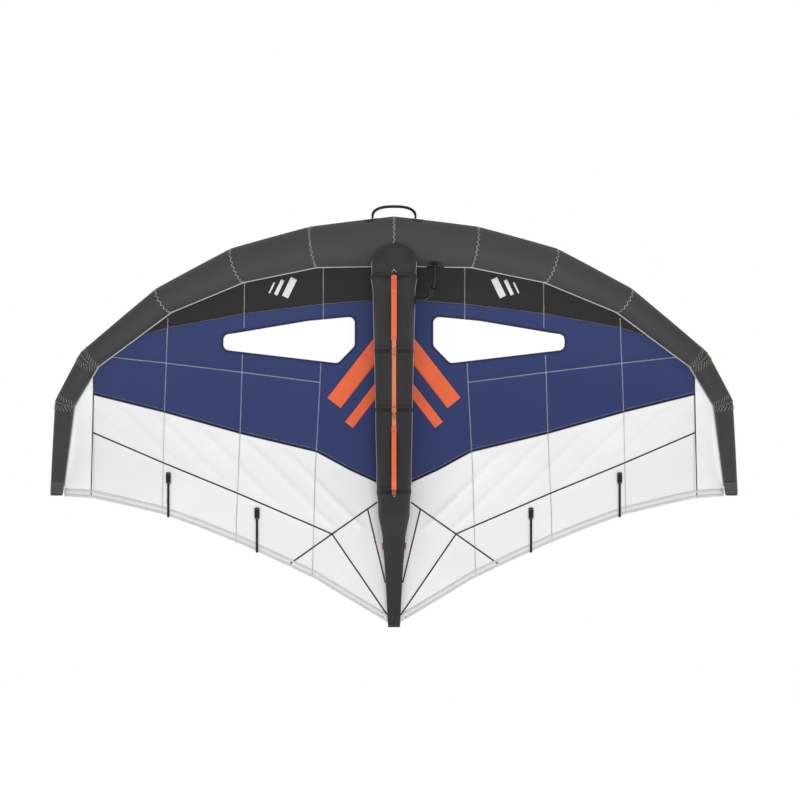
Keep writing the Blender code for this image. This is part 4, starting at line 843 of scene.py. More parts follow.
def make_ripstop(name, code, spread, stretch=(1.0, 1.0, 1.0)):
    """Raised threads: in both directions a cosine wave of two pitches, made positive and squeezed by
    a high power to one thin ridge for each pitch. The ridges are painted a little lighter too, as a
    painted highlight."""
    look, tree, shader = new_look(name, 0.42, sheen=0.03, specular=0.13)
    ridges = []
    for wave in waves(tree, "COSINE", 2 * RIPSTOP_PITCH, 2 * RIPSTOP_PITCH):
        wave = add(tree, "Math", {"operation": "ABSOLUTE"}, _0=wave).outputs[0]
        ridges.append(add(tree, "Math", {"operation": "POWER"}, _0=wave, _1=24.0).outputs[0])
    grid = add(tree, "Math", {"operation": "MAXIMUM"}, _0=ridges[0], _1=ridges[1]).outputs[0]
    # Painted highlight: the grid's ridges are screened a little lighter.
    share = add(tree, "Math", {"operation": "MULTIPLY"}, _0=grid, _1=0.04).outputs[0]
    colour = add(tree, "Mix", {"data_type": "RGBA", "blend_type": "SCREEN"}, _0=share,
                 _6=tone(tree, code, 1.6, spread, 2.5, stretch), _7=(0.5, 0.5, 0.5, 1.0)).outputs[2]
    place = add(tree, "TexCoord").outputs["Object"]
    soft = add(tree, "TexNoise", Vector=place, Scale=14.0, Detail=2.0).outputs[0]
    height = add(tree, "Math", {"operation": "MULTIPLY_ADD"}, _0=soft, _1=5.0, _2=grid).outputs[0]
    lay(tree, shader, colour, height, 0.00016)
    return look


black_ripstop = make_ripstop("coated_black_ripstop", "#1E1E1E", 0.05)
navy_ripstop = make_ripstop("coated_navy_ripstop", "#1C2447", 0.05)
blue_ripstop = make_ripstop("coated_blue_ripstop", "#283462", 0.06)
white_ripstop = make_ripstop("coated_white_ripstop", "#E3E3E4", 0.035, WHITE_CREASE_SHADE_STRETCH)
# The hem's copy is painted darker (painted shade) and the tips' copy lighter (painted light).
hem_painted_shade_ripstop = make_ripstop("hem_white_ripstop_painted_shade", "#D8D8DA", 0.035, WHITE_CREASE_SHADE_STRETCH)
tip_painted_light_ripstop = make_ripstop("tip_white_ripstop_painted_light", "#ECECED", 0.035, WHITE_CREASE_SHADE_STRETCH)
print("ripstop grid", RIPSTOP_PITCH * 1000, "mm")

# %% [markdown]
# The windows are clear film, calendered smooth and slightly wavy. It has hardly any colour of its
# own. The eye finds it by its gloss and by a thin milky veil, so it is mostly see-through and the
# waves bend its reflections.

# %% Window film
def make_film():
    """Clear flexible sheet: smooth, nearly colourless, with slow waves."""
    look, tree, shader = new_look("clear_window_film", 0.12, specular=0.5)
    place = add(tree, "TexCoord").outputs["Object"]
    soft = add(tree, "TexNoise", Vector=place, Scale=7.0, Detail=1.0).outputs[0]
    lay(tree, shader, tone(tree, "#F4F6F8", 3.0, 0.02), soft, 0.0015)
    shader.inputs["Alpha"].default_value = 0.22
    return look


window_film = make_film()
print(window_film.name)

# %% [markdown]
# Now the large pieces get their cloth. Each one says which body it moves with and which plain
# solids it stands for.

# %% Dress the tube, the strut and the canopy
sides = ("left", "right")
finish_piece(nose_tube, casing_cloth, "wing", "casing_cloth",
             *[f"nose_panel_{side}_{k}" for side in sides for k in range(1, 7)])
finish_piece(strut_sleeve, dark_casing, "wing", "casing_cloth", "strut_casing", "strut_tail")
finish_piece(canopy_black, black_ripstop, "wing", "black_ripstop", "canopy_front_left", "canopy_front_right")
finish_piece(canopy_blue, blue_ripstop, "wing", "blue_ripstop", "canopy_middle_left", "canopy_middle_right")
finish_piece(canopy_white, white_ripstop, "wing", "white_ripstop",
             *[f"{node}_{side}" for node in ("canopy_rear", "canopy_edge") for side in sides])
for tip, side in zip(canopy_tips, ("right", "left")):
    finish_piece(tip, tip_painted_light_ripstop, "wing", "white_ripstop", f"canopy_tip_{side}")
for pane, side in zip(windows, ("right", "left")):
    finish_piece(pane, window_film, "wing", "window_film", f"window_{side}")
for border in borders:
    finish_piece(border, navy_ripstop, "wing", "blue_ripstop")

# %% [markdown]
# Three more shapes come back many times. A `tube` is a round section carried along a path. A
# `ribbon` is a strip of cloth or webbing laid on the canopy along a line. A `bar` is a flat webbing
# section, a superellipse, carried along a path, with its own width, thickness and squareness at
# each place.

# %% Tubes, ribbons and bars
def along_path(path):
    """The unit direction at each point of a path, from its two neighbours."""
    return unit(np.gradient(np.asarray(path, float), axis=0))


def tube(path, radius, count, up=(0.0, 1.0, 0.0)):
    """Circles square to the path: middle plus radius times (cos a * side + sin a * up)."""
    path = np.asarray(path, float)
    direction = along_path(path)
    up = np.broadcast_to(up, path.shape)
    side = unit(np.cross(direction, up))
    up = np.cross(side, direction)
    angle = 2 * math.pi * np.arange(count) / count
    radius = np.broadcast_to(radius, len(path))[:, None, None]
    spoke = np.cos(angle)[:, None] * side[:, None, :] + np.sin(angle)[:, None] * up[:, None, :]
    return path[:, None, :] + radius * spoke


def ribbon(line, width, lift, step=0.012, across=3):
    """A strip on the canopy: the line in plan, moved to both sides of itself, at the cloth's height."""
    line = resampled(line, step)
    side = along_path(line)[:, ::-1] * (-1, 1)
    flat = line[:, None, :] + side[:, None, :] * width * np.linspace(-0.5, 0.5, across)[:, None]
    uv = stacked(run_length(line)[:, None], width * np.linspace(-0.5, 0.5, across))
    return on_cloth(flat[..., 0], flat[..., 1], lift), uv, False, False


def bar(path, width, thick, power, side, count=24):
    """Superellipses along a path: half width times |cos|^(2/p), half thickness times |sin|^(2/p)."""
    path = np.asarray(path, float)
    side = np.broadcast_to(side, path.shape)
    out = unit(np.cross(along_path(path), side))
    angle = 2 * math.pi * np.arange(count) / count
    c, s = np.cos(angle), np.sin(angle)
    power = 2 / np.broadcast_to(power, len(path))[:, None]
    x = np.broadcast_to(width, len(path))[:, None] / 2 * np.sign(c) * np.abs(c) ** power
    y = np.broadcast_to(thick, len(path))[:, None] / 2 * np.sign(s) * np.abs(s) ** power
    return path[:, None, :] + x[..., None] * side[:, None, :] + y[..., None] * out[:, None, :]


def path_uv(path, count, girth):
    """The flat pattern of a tube or bar: length along it, and its girth unrolled."""
    return stacked(run_length(path)[:, None], girth * np.linspace(0, 1, count + 1))


def both_sides(lines):
    """Each line in plan, and its mirror image."""
    return [np.asarray(line) * (sign, 1) for line in lines for sign in (1, -1)]


# %% [markdown]
# Webbing is thick polyester tape, woven, and its fine cross ribs make it look soft and dull. A tape
# over a seam has finer ribs and looks smoother. Thread is bonded polyester, twisted, with a slight
# shine. Foam for the grips is matt and nearly black, with fine closed cells. The small fittings are
# moulded nylon, and moulding leaves a faint grain on them. Screen print is a thin matt film of ink,
# bladder film is milky, a pultruded batten is smooth and straw coloured, and rubber is dull. A real
# rib is about 1 mm and a real thread's twist half of that; they are drawn up to twice as coarse.

# %% Trims and fittings materials
def make_webbing(name, code, rib=0.0022, specular=0.3):
    """Woven ribs: a sine wave along the tape and one across it. Their product shades the colour."""
    look, tree, shader = new_look(name, 0.62, sheen=0.10, specular=specular)
    ribs, cords = waves(tree, "SINE", rib, rib * 0.8)
    crossed = add(tree, "Math", {"operation": "MULTIPLY"}, _0=ribs, _1=cords).outputs[0]
    shade = add(tree, "MapRange", _0=crossed, _1=-1.0, _2=1.0, _3=0.86, _4=1.04).outputs[0]
    colour = add(tree, "Mix", MULTIPLIED, _0=1.0, _6=tone(tree, code, 30.0, 0.06), _7=shade).outputs[2]
    height = add(tree, "Math", {"operation": "MULTIPLY_ADD"}, _0=cords, _1=0.5, _2=ribs).outputs[0]
    lay(tree, shader, colour, height, 0.00022)
    return look


def make_grained(name, code, roughness, grain, depth, specular=0.5, sheen=0.0):
    """Moulded, foamed or twisted surface: noise at the grain's own size, and a drift of tone."""
    look, tree, shader = new_look(name, roughness, sheen=sheen, specular=specular)
    place = add(tree, "TexCoord").outputs["Object"]
    noise = add(tree, "TexNoise", Vector=place, Scale=1 / grain, Detail=2.0).outputs[0]
    lay(tree, shader, tone(tree, code, 20.0, 0.08), noise, depth)
    return look


orange_webbing = make_webbing("orange_polyester_webbing", "#DB7A58")
orange_cover = make_webbing("orange_woven_cover", "#E96A3F", rib=0.0016)
black_webbing = make_webbing("black_polyester_webbing", "#1B1B1C", specular=0.2)
red_webbing = make_webbing("red_polyester_webbing", "#B04A48")
dark_tape = make_webbing("dark_seam_tape", "#38393B", rib=0.0012, specular=0.2)
hem_tape = make_webbing("pale_hem_tape", "#DEDEE0", rib=0.0012, specular=0.2)
navy_tape = make_webbing("navy_seam_tape", "#14172C", rib=0.0012, specular=0.2)
tape_cloth = make_webbing("grey_reinforcing_tape", "#5A5B5E", rib=0.0014)
white_thread = make_grained("white_bonded_thread", "#E4E6EA", 0.45, 0.0006, 0.00010, sheen=0.2)
grey_thread = make_grained("grey_bonded_thread", "#8E8E90", 0.45, 0.0006, 0.00010, sheen=0.1)
printed_white = make_grained("screen_printed_white", "#DCDCDC", 0.50, 0.0010, 0.00003, specular=0.2)
printed_orange = make_grained("screen_printed_orange", "#E2653E", 0.50, 0.0010, 0.00003, specular=0.2)
straw_thread = make_grained("straw_bonded_thread", "#A9A48C", 0.45, 0.0006, 0.00010, sheen=0.2)
piping_cloth = make_grained("pale_piping_cloth", "#BDBDBD", 0.55, 0.0015, 0.00012, sheen=0.1)
grip_foam = make_grained("closed_cell_grip_foam", "#110F0E", 0.85, 0.0012, 0.00020, specular=0.25)
moulded_nylon = make_grained("moulded_dark_nylon", "#1C1C1E", 0.45, 0.0007, 0.00006, specular=0.3)
flap_rubber = make_grained("soft_black_rubber", "#262626", 0.65, 0.0010, 0.00006)
hose_rubber = make_grained("smooth_black_hose", "#101011", 0.55, 0.0016, 0.00008)
bladder_film = make_grained("milky_bladder_film", "#D8DCDE", 0.30, 0.0060, 0.00030)
batten_glass = make_grained("pultruded_glass_fibre", "#D8D2BA", 0.35, 0.0012, 0.00005)
print(len(bpy.data.materials), "materials so far")

# %% [markdown]
# A pale cord runs in the seam between the nose tube and the canopy. It shows as a thin light line
# along the whole front of the canopy, from the strut's head to each tip.

# %% Piping
for side, sign in (("right", 1), ("left", -1)):
    line = FRONT.copy()
    line[0] += (line[1] - line[0]) * (HEAD_RADIUS / 2) / line[1][0]
    line[-1] += unit(line[-2] - line[-1]) * 0.050
    line = resampled(line, 0.02) * (sign, 1, 1)
    piping = closed(f"piping_{side}", tube(line, PIPING_RADIUS, 10), path_uv(line, 10, 0.025))
    finish_piece(piping, piping_cloth, "wing", "white_ripstop", f"front_piping_{side}")

# %% [markdown]
# The trailing edge is a hem: the cloth is folded back on itself over 4 cm and sewn down, so it is
# thicker than the rest and wraps the free edge. Two pale bands run along it. Dark tapes cover the
# seams that spread the pull of the tail over the white cloth; the one beside each tip is narrower.
# A navy tape covers the seam where blue meets white, and a grey one runs over the strut.

# %% Hem and tapes
HEM_LAP = 0.0008
HEM_THICK = 0.0024
WIDE_TAPE, NARROW_TAPE = 0.0072, 0.0050
NAVY_TAPE = 0.0085
HEM_BAND = 0.011
CENTRE_TAPE, CENTRE_TAPE_THICK = 0.030, 0.0008
TAPE_LIFT, HEM_TAPE_LIFT = 0.0012, 0.0018
TAPE_THICK, HEM_TAPE_THICK = 0.0006, 0.0005


def hem_end(x):
    """The fold wraps the trailing edge and ends just past it."""
    return edge_z(x) - HEM_LAP


def hem_lines(start, count, heights):
    """Lines in plan along the right half of the hem, at these heights over the edge."""
    x = np.linspace(start, TIP_END - 0.01, count)
    return [stacked(x, edge_z(x) + height) for height in heights]


def tapes(name, lines, lift, thick):
    """Tapes on both faces of the cloth, as one piece; each line comes with its own width."""
    grids = [ribbon(line, width, face * lift) for line, width in lines for face in (-1, 1)]
    return wall(joined(name, grids), thick)


points, uv = cloth_grid(columns(-TIP_END, TIP_END, CLOTH_STEP), hem_z, hem_end, 6)
hem_fold = wall(surface("hem_fold", points, uv), HEM_THICK)
finish_piece(hem_fold, hem_painted_shade_ripstop, "wing", "white_ripstop", "trailing_hem_left", "trailing_hem_right")

dark_lines = ([(line, WIDE_TAPE) for line in both_sides(TAPE_SEAMS[:-1])]
              + [(line, NARROW_TAPE) for line in both_sides(TAPE_SEAMS[-1:])])
finish_piece(tapes("dark_seam_tapes", dark_lines, TAPE_LIFT, TAPE_THICK), dark_tape, "wing", "tape_cloth")
band_lines = [(line, HEM_BAND) for line in both_sides(hem_lines(0.055, 90, (0.0085, 0.0340)))]
finish_piece(tapes("hem_tapes", band_lines, HEM_TAPE_LIFT, HEM_TAPE_THICK), hem_tape, "wing", "white_ripstop")
navy_lines = [(line, NAVY_TAPE) for line in both_sides([BLUE_TO_WHITE[1:] + (0.0, 0.003)])]
finish_piece(tapes("navy_seam_tape", navy_lines, TAPE_LIFT, TAPE_THICK), navy_tape, "wing", "blue_ripstop")
spine = [(0.0, float(front_z(0.0)) - 0.002), (0.0, float(hem_z(0.0)) - 0.01)]
centre_strip = wall(joined("centre_strip", [ribbon(spine, CENTRE_TAPE, 0.0016, across=5)]), CENTRE_TAPE_THICK)
finish_piece(centre_strip, tape_cloth, "wing", "tape_cloth", "centre_tape")

# %% [markdown]
# Sewing is what makes this object readable, so the stitches are real thread: a thin tube with four
# sides that zigzags across each seam and lies on the cloth. Real thread is half a millimetre thick
# and is drawn at about 2 mm, so that a row still shows. A canopy stitch is 5 mm wide and comes back
# every 8 mm. On the nose tube it is 12 mm wide and comes back every 26 mm, and the two bends near
# each tip have bands of long slanted stitches where a tougher cloth is laid over the joint.

# %% Stitching
THREAD = 0.0009
HEM_THREAD = 0.0008
EDGE_THREAD = 0.0007
STITCH_PITCH = 0.008
THREAD_AROUND = 4
ABOVE_CLOTH = 0.0010
ON_SEAM = 0.0008
EDGE_LIFT, SEAM_LIFT, HEM_LIFT = 0.0010, 0.0011, 0.0026


def zigzag(count, width):
    """Left, right, left, right: half a width to either side of the seam."""
    return width / 2 * np.where(np.arange(count) % 2, 1.0, -1.0)


def thread(path, radius, up=(0.0, 1.0, 0.0), count=THREAD_AROUND):
    """A thin tube with both ends filled, as one grid of a piece."""
    return tube(path, radius, count, up), None, True, True


def sewn(name, rows, look, slot):
    """A piece of thread: many thin tubes in one mesh, with their faces outwards."""
    return finish_piece(face_out(joined(name, rows)), look, "wing", slot)


def canopy_stitches(lines, width, lift, radius):
    """Zigzag rows along lines in plan, on both faces of the cloth."""
    rows = []
    for line in both_sides(lines):
        line = resampled(line, STITCH_PITCH / 2)
        side = along_path(line)[:, ::-1] * (-1, 1)
        flat = line + side * zigzag(len(line), width)[:, None]
        rows += [thread(on_cloth(flat[:, 0], flat[:, 1], face * lift), radius) for face in (-1, 1)]
    return rows


def split_by_colour(lines):
    """Parts of each seam on the dark cloth, and parts on the white cloth."""
    parts = ([], [])
    for line in lines:
        line = resampled(np.asarray(line, float), 0.004)
        white = line[:, 1] < np.interp(line[:, 0], *BLUE_TO_WHITE.T)
        for side, chosen in enumerate((~white, white)):
            if chosen.sum() > 3:
                parts[side].append(line[chosen])
    return parts


for name, lines, look in zip(("canopy_stitching", "white_cloth_stitching"), split_by_colour(WHITE_SEAMS),
                             (white_thread, grey_thread)):
    sewn(name, canopy_stitches(lines, 0.005, SEAM_LIFT, THREAD), look, "white_ripstop")
rows = canopy_stitches(hem_lines(0.06, 180, (0.004, 0.036)), 0.004, HEM_LIFT, HEM_THREAD)
sewn("hem_stitching", rows, white_thread, "white_ripstop")
rows = canopy_stitches([BLACK_TO_BLUE[1:], BLUE_TO_WHITE[1:] + (0.0, 0.0135)], 0.003, EDGE_LIFT, EDGE_THREAD)
sewn("edge_stitching", rows, grey_thread, "white_ripstop")


# %% [markdown]
# On the nose tube each seam is a ring round the tube, so the thread zigzags across that ring. The
# long slanted stitches at the bends are short straight threads side by side.

# %% Stitching on the nose tube
def nose_stitches(corner, width, pitch):
    """Round a seam of the nose tube: the corner's ring, moved to both sides along the tube. The
    middle seam has one such row, and each other seam has its mirror image too."""
    size = CORNER_RADIUS[corner]
    angles = np.linspace(0.0, 2 * math.pi, int(size * 2 * math.pi / (pitch / 2)))
    ring = corner_ring(corner, size - SEAM_DIP + ON_SEAM, angles)
    along = unit(DIRECTIONS[corner - 1] + DIRECTIONS[corner]) if corner else ACROSS
    row = thread(ring + zigzag(len(ring), width)[:, None] * along, THREAD, unit(ring - CORNERS[corner]))
    return mirrored([row]) if corner else [row]


rows = [row for corner in range(4) for row in nose_stitches(corner, 0.0120, 0.026)]
sewn("nose_stitching", rows, white_thread, "casing_cloth")


def slanted_stitches(start, radius, along, count, length):
    """Long stitches side by side round the tube: short straight tubes, each turned by about 35
    degrees, here and on the other half of the wing."""
    spoke = spokes(along, np.linspace(0, 2 * math.pi, count, endpoint=False))
    lean = unit(along * 0.8 + np.cross(along, spoke) * 0.6)
    middle = start + spoke * (radius + ABOVE_CLOTH)
    return mirrored([thread([m - d * length / 2, m, m + d * length / 2], HEM_THREAD, s)
                     for m, d, s in zip(middle, lean, spoke)])


BEND_BANDS = ((4, -0.026, 22, 0.030), (4, 0.026, 22, 0.034), (5, -0.030, 20, 0.026), (5, 0.024, 18, 0.030))
rows = []
for corner, distance, count, length in BEND_BANDS:
    direction = DIRECTIONS[corner - 1 if distance < 0 else corner]
    taper = (CORNER_RADIUS[min(corner + 1, LAST)] - CORNER_RADIUS[corner]) * max(distance, 0)
    radius = CORNER_RADIUS[corner] + taper + ON_SEAM
    rows += slanted_stitches(CORNERS[corner] + direction * distance, radius, direction, count, length)
for corner in (4, 5):
    rows += nose_stitches(corner, 0.006, 0.012)
sewn("bend_stitching", rows, straw_thread, "casing_cloth")

# %% [markdown]
# Two handles hang under the strut. Each is a loop of webbing whose rolled ends turn in cloth keepers
# on the strut. A foam grip is threaded on it, and an orange woven cover runs over the outer face.
# The loop's path lies on the line between its two pivots and stands off it by a smooth step at each
# end.

# %% Handle loops
PIVOTS = np.array(((0.0, -0.19914, -0.34694), (0.0, -0.08099, -0.71500),
                   (0.0, -0.05192, -1.01003), (0.0, -0.07916, -1.42038)))
BAR_RADIUS = 0.006
BAR_HALF = 0.012
LOOP_HEIGHT = 0.066
LOOP_RAMP = 0.044
WEBBING_WIDTH, WEBBING_THICK = 0.021, 0.0030
WEBBING_GIRTH = 0.045
GRIP_GIRTH = 0.10
GRIP_SHOULDER = 0.009
GRIP_TAPER = 0.12
COVER_THICK = 0.0012
# Each handle's two pivots, its grip as shares of the loop, and the strips on its outer face: each
# with its start, end and half width in metres, and its rows. The rear one also has a red end.
LOOPS = {
    "front_handle": ((0, 1), (0.165, 0.74), (("cover", -0.0125, 0.305, 0.0140, 120, orange_cover),)),
    "rear_handle": ((2, 3), (0.27, 0.85), (("cover", 0.088, 0.398, 0.0122, 120, orange_cover),
                                           ("end", 0.3985, 0.4225, 0.0105, 16, red_webbing))),
}


def loop_path(pivots, places):
    """Points of a loop at places along the line between its pivots. It stands off that line by a
    smooth step over the ramp, from each end. Gives the points, the step's share, and the way out."""
    start, end = PIVOTS[list(pivots)]
    length = np.linalg.norm(end - start)
    along = (end - start) / length
    out = unit(np.cross(along, ACROSS))
    out = out * (1 if out[1] < 0 else -1)
    rise = ease((np.minimum(places, length - places) - BAR_HALF) / LOOP_RAMP)
    return start + np.outer(places, along) + np.outer(LOOP_HEIGHT * rise, out), rise, out


def grip_size(places, start, end):
    """Half thickness of grip: zero beyond it, a rounded shoulder of 9 mm, and a slightly thinner end."""
    inside = np.minimum(places - start, end - places)
    middle = (places - start) / (end - start) * 2 - 1
    shoulder = np.sqrt(np.clip(1 - (1 - np.clip(inside / GRIP_SHOULDER, 0, 1)) ** 2, 0, 1))
    return shoulder * (1 - GRIP_TAPER * middle ** 2)


# %% [markdown]
# Each handle is made the same way from its row of sizes: first the webbing, which is round in the
# keepers and flat between them, then the foam grip, and then the strips that lie on the outer face
# and follow the grip's swell.

# %% Webbing, grips and covers
for name, (pivots, grip_shares, strips) in LOOPS.items():
    length = np.linalg.norm(PIVOTS[pivots[1]] - PIVOTS[pivots[0]])
    path, rise, out = loop_path(pivots, np.linspace(-BAR_HALF, length + BAR_HALF, 96))
    width = 2 * BAR_RADIUS + (WEBBING_WIDTH - 2 * BAR_RADIUS) * ease(rise / 0.25)
    thick = 2 * BAR_RADIUS + (WEBBING_THICK - 2 * BAR_RADIUS) * rise
    loop = closed(f"{name}_loop", bar(path, width, thick, 2 + 3 * rise, ACROSS),
                  path_uv(path, 24, WEBBING_GIRTH))
    finish_piece(loop, orange_webbing, name, "orange_webbing", f"{name}_webbing")

    grip_ends = [share * length for share in grip_shares]
    places = grip_ends[0] + (grip_ends[1] - grip_ends[0]) * (1 - np.cos(np.linspace(0, math.pi, 60))) / 2
    size = grip_size(places, *grip_ends)
    path, rise, out = loop_path(pivots, places)
    grip = closed(f"{name}_foam", bar(path, 0.012 + 0.028 * size, 0.006 + 0.020 * size, 3.0, ACROSS, 40),
                  path_uv(path, 40, GRIP_GIRTH))
    finish_piece(grip, grip_foam, name, "grip_foam", f"{name}_grip")

    for part, begin, finish, half_width, count, look in strips:
        places = np.linspace(begin, finish, count)
        path, rise, out = loop_path(pivots, places)
        foam = np.clip(grip_size(places, *grip_ends), 0, 1)
        normal = unit(np.cross(along_path(path), ACROSS))
        normal = normal * np.sign(normal @ out)[:, None]
        thick = BAR_RADIUS + (WEBBING_THICK / 2 - BAR_RADIUS) * rise
        lift = np.maximum(thick, 0.003 + 0.010 * foam) + COVER_THICK + 0.0022 * (1 - rise)
        half = half_width * (0.8 + 0.2 * ease((places - begin) / 0.0015) * ease((finish - places) / 0.004))
        across = np.linspace(-1, 1, 9)
        bend = np.outer(0.0006 + 0.0008 * foam, across ** 2)
        points = (path[:, None, :] + (lift[:, None] - bend)[..., None] * normal[:, None, :]
                  + (half[:, None] * across)[..., None] * ACROSS)
        strip = surface(f"{name}_{part}", points, stacked(places[:, None], half_width * across))
        finish_piece(wall(strip, COVER_THICK), look, name, "orange_webbing")
    print(name, round(float(length), 3), "m between pivots")

# %% [markdown]
# On the strut, each end of a loop sits on a cloth patch. A dark band holds the patch from side to
# side, and a keeper of webbing arches over the rolled end. A flat orange strap joins the two
# handles, and white tacks in the form of a V lock the outer ends.

# %% Patches, bands and keepers
DOWN = 1.5 * math.pi
PATCH_WALL = 0.0012
PATCH_LIFT, BAND_LIFT, STRAP_LIFT = 0.0012, 0.0026, 0.0042
PATCH_HALF, BAND_HALF = 0.025, 0.0085
TACK_LIFT, TACK_THREAD = 0.0046, 0.0011


def strut_cloth(z, angles, lift):
    """A sheet on the strut: rows along it and columns round it, a lift above the sleeve."""
    z = z[:, None]
    return strut_point(z, angles, lift), stacked(z, angles * RADIAN_OF_CLOTH), False, False


spread = np.linspace(DOWN - math.radians(62), DOWN + math.radians(62), 41)
wide = np.linspace(DOWN - math.radians(88), DOWN + math.radians(88), 61)
patches = [strut_cloth(np.linspace(z + PATCH_HALF, z - PATCH_HALF, 9), spread, PATCH_LIFT) for z in ANCHOR_Z]
bands = [strut_cloth(np.linspace(z + BAND_HALF, z - BAND_HALF, 5), wide, BAND_LIFT) for z in ANCHOR_Z]
finish_piece(wall(joined("strut_patches", patches), PATCH_WALL), dark_casing, "wing", "casing_cloth",
             "handle_patch_front", "handle_patch_rear")
finish_piece(wall(joined("strut_bands", bands), PATCH_WALL), black_webbing, "wing", "black_webbing")


def keeper(pivot, reach, half_height):
    """A strip that lies on the patch and arches over the rolled end: the higher of the strut's own
    line and half a circle round the pivot."""
    x = np.linspace(-reach, reach, 41)
    z = pivot[2] + np.linspace(-half_height, half_height, 5)[:, None]
    width, depth = strut_size(z)
    cloth = strut_middle(z) - (depth + 0.0040) * np.sqrt(1 - (x / width) ** 2)
    arch = np.sqrt(np.clip((BAR_RADIUS + 0.0014) ** 2 - x ** 2, 0, None))
    foot = 0.0060 * np.exp(-(np.clip(np.abs(x) - BAR_RADIUS, 0, None) / 0.003) ** 2)
    y = np.minimum(cloth, np.where(arch > 0.001, pivot[1] - arch, pivot[1] + BAR_RADIUS - foot))
    return stacked(x, y, z), stacked(x, z), False, False


outer_keepers = joined("outer_keepers", [keeper(pivot, 0.026, BAND_HALF) for pivot in PIVOTS[::3]])
finish_piece(wall(outer_keepers, PATCH_WALL), black_webbing, "wing", "black_webbing")
inner_keepers = joined("inner_keepers", [keeper(pivot, 0.0112, 0.0135) for pivot in PIVOTS[1:3]])
finish_piece(wall(inner_keepers, PATCH_WALL), orange_webbing, "wing", "orange_webbing")

# %% [markdown]
# The strap is a flat bar that follows the strut's underside between the two inner keepers. A tack is
# a row of close stitches, drawn as one wavy thread. Two small red tabs stick out of the strut's
# sides near the tail.

# %% Strap, tacks and tabs
path = strut_point(np.linspace(PIVOTS[1][2] - 0.0136, PIVOTS[2][2] + 0.0136, 60), DOWN, STRAP_LIFT)
strap = closed("strut_strap", bar(path, WEBBING_WIDTH, 0.0026, 5.0, ACROSS), path_uv(path, 24, WEBBING_GIRTH))
finish_piece(strap, orange_webbing, "wing", "orange_webbing", "middle_strap")


def tack(z, point_z, spread):
    """A row of close stitches in the form of a V, from two arms to one point."""
    share = np.linspace(0, 1, 26)
    height = z + (point_z - z) * share + 0.0016 * (np.arange(26) % 2)
    arms = [DOWN + sign * spread * (1 - share) / HEAD_RADIUS for sign in (-1, 1)]
    return [thread(strut_point(height, angle, TACK_LIFT), TACK_THREAD, count=5) for angle in arms]


rows = tack(-0.3225, -0.3085, 0.011) + tack(-1.4335, -1.4450, 0.009)
sewn("loop_tacks", rows, white_thread, "black_webbing")

tabs = []
tab_z = np.linspace(-1.673, -1.708, 6)[:, None]
tab_reach = np.linspace(0.0, 0.007, 3)
for sign, angle in ((-1, math.pi), (1, 0.0)):
    points = strut_point(tab_z, angle) + tab_reach[:, None] * np.array((sign, 0.15, 0.0))
    tabs.append((points, stacked(tab_z, tab_reach), False, False))
finish_piece(wall(joined("strut_tabs", tabs), 0.0016), red_webbing, "wing", "black_webbing")

# %% [markdown]
# The bow over the nose is a soft tube with a webbing core. Its ends turn on cloth patches on the
# nose tube, so it folds flat when the wing is packed. The arch is half of a superellipse, which has
# a flat top and tight shoulders.

# %% Bow
BOW_PIVOT_Z = -0.04739
BOW_TUBE_RADIUS = 0.0065
BOW_COVER_RADIUS = 0.0071
BOW_FOOT_RADIUS = 0.0060
BOW_SQUARENESS = 2.6
BARE_ANGLE = math.radians(9)


def bow_arch(angles):
    """x = half width |cos|^(2/n) and z = height |sin|^(2/n) above the pivots."""
    c, s = np.cos(angles), np.sin(angles)
    x = BOW_HALF_WIDTH * np.sign(c) * np.abs(c) ** (2 / BOW_SQUARENESS)
    z = BOW_PIVOT_Z + (BOW_TUBE_RADIUS - BOW_PIVOT_Z) * np.abs(s) ** (2 / BOW_SQUARENESS)
    return np.stack((x, np.zeros_like(x), z), axis=1)


path = resampled(bow_arch(np.linspace(BARE_ANGLE, math.pi - BARE_ANGLE, 400)), 0.004)
from_end = np.minimum(np.arange(len(path)), np.arange(len(path))[::-1])
radius = BOW_COVER_RADIUS * (1 - 0.15 * np.clip(1 - from_end / 2, 0, 1))
bow_cover = closed("bow_cover", tube(path, radius, 16), path_uv(path, 16, 0.041))
finish_piece(bow_cover, black_webbing, "bow", "black_webbing", "bow_tube")
foot = bow_arch(np.array((0.0,)))[0]
rise = np.linspace(-0.0059, 0.0043, 14)
stem = bow_arch(np.linspace(0, BARE_ANGLE + 0.03, 10))[1:]
stem = stem[stem[:, 2] > foot[2] + 0.005]
ball = np.sqrt(np.clip(BOW_FOOT_RADIUS ** 2 - rise ** 2, 2e-7, None))
radius = np.concatenate((ball, np.full(len(stem), BOW_FOOT_RADIUS)))
feet = []
for sign in (1, -1):
    path = np.concatenate((foot + np.outer(rise, (0, 0, 1)), stem)) * (sign, 1, 1)
    feet.append((tube(path, radius, 16), path_uv(path, 16, 0.037), True, True))
finish_piece(face_out(joined("bow_feet", feet)), black_webbing, "bow", "black_webbing", "bow_webbing")


# %% [markdown]
# The bow's feet turn on oval patches, sewn flat on the round tube. An oval on a tube is a range of
# places along it, with angles round it that narrow to both ends. The hose's spigots get the same.

# %% Bow patches
def oval(middle, reach, middle_angle, half_angle):
    """Places along a tube, and angles round it that narrow to both ends as the root of 1 - s^2."""
    share = np.linspace(-0.995, 0.995, 19)[:, None]
    angles = np.sqrt(1 - share ** 2) * np.linspace(-half_angle, half_angle, 21)
    return middle + reach * share, middle_angle + angles


def nose_patch(sign, middle, reach, middle_angle, half_angle, lift):
    """An oval sheet on the nose tube's first panel, or on its mirror image."""
    x, angles = oval(middle, reach, middle_angle, half_angle)
    panel = [first_panel(place) for place in x[:, 0]]
    points = np.array([start + spokes(DIRECTIONS[0], angles_here) * (radius + lift)
                       for (start, radius), angles_here in zip(panel, angles)])
    return points * (sign, 1, 1), stacked(x, angles * 0.12), False, False


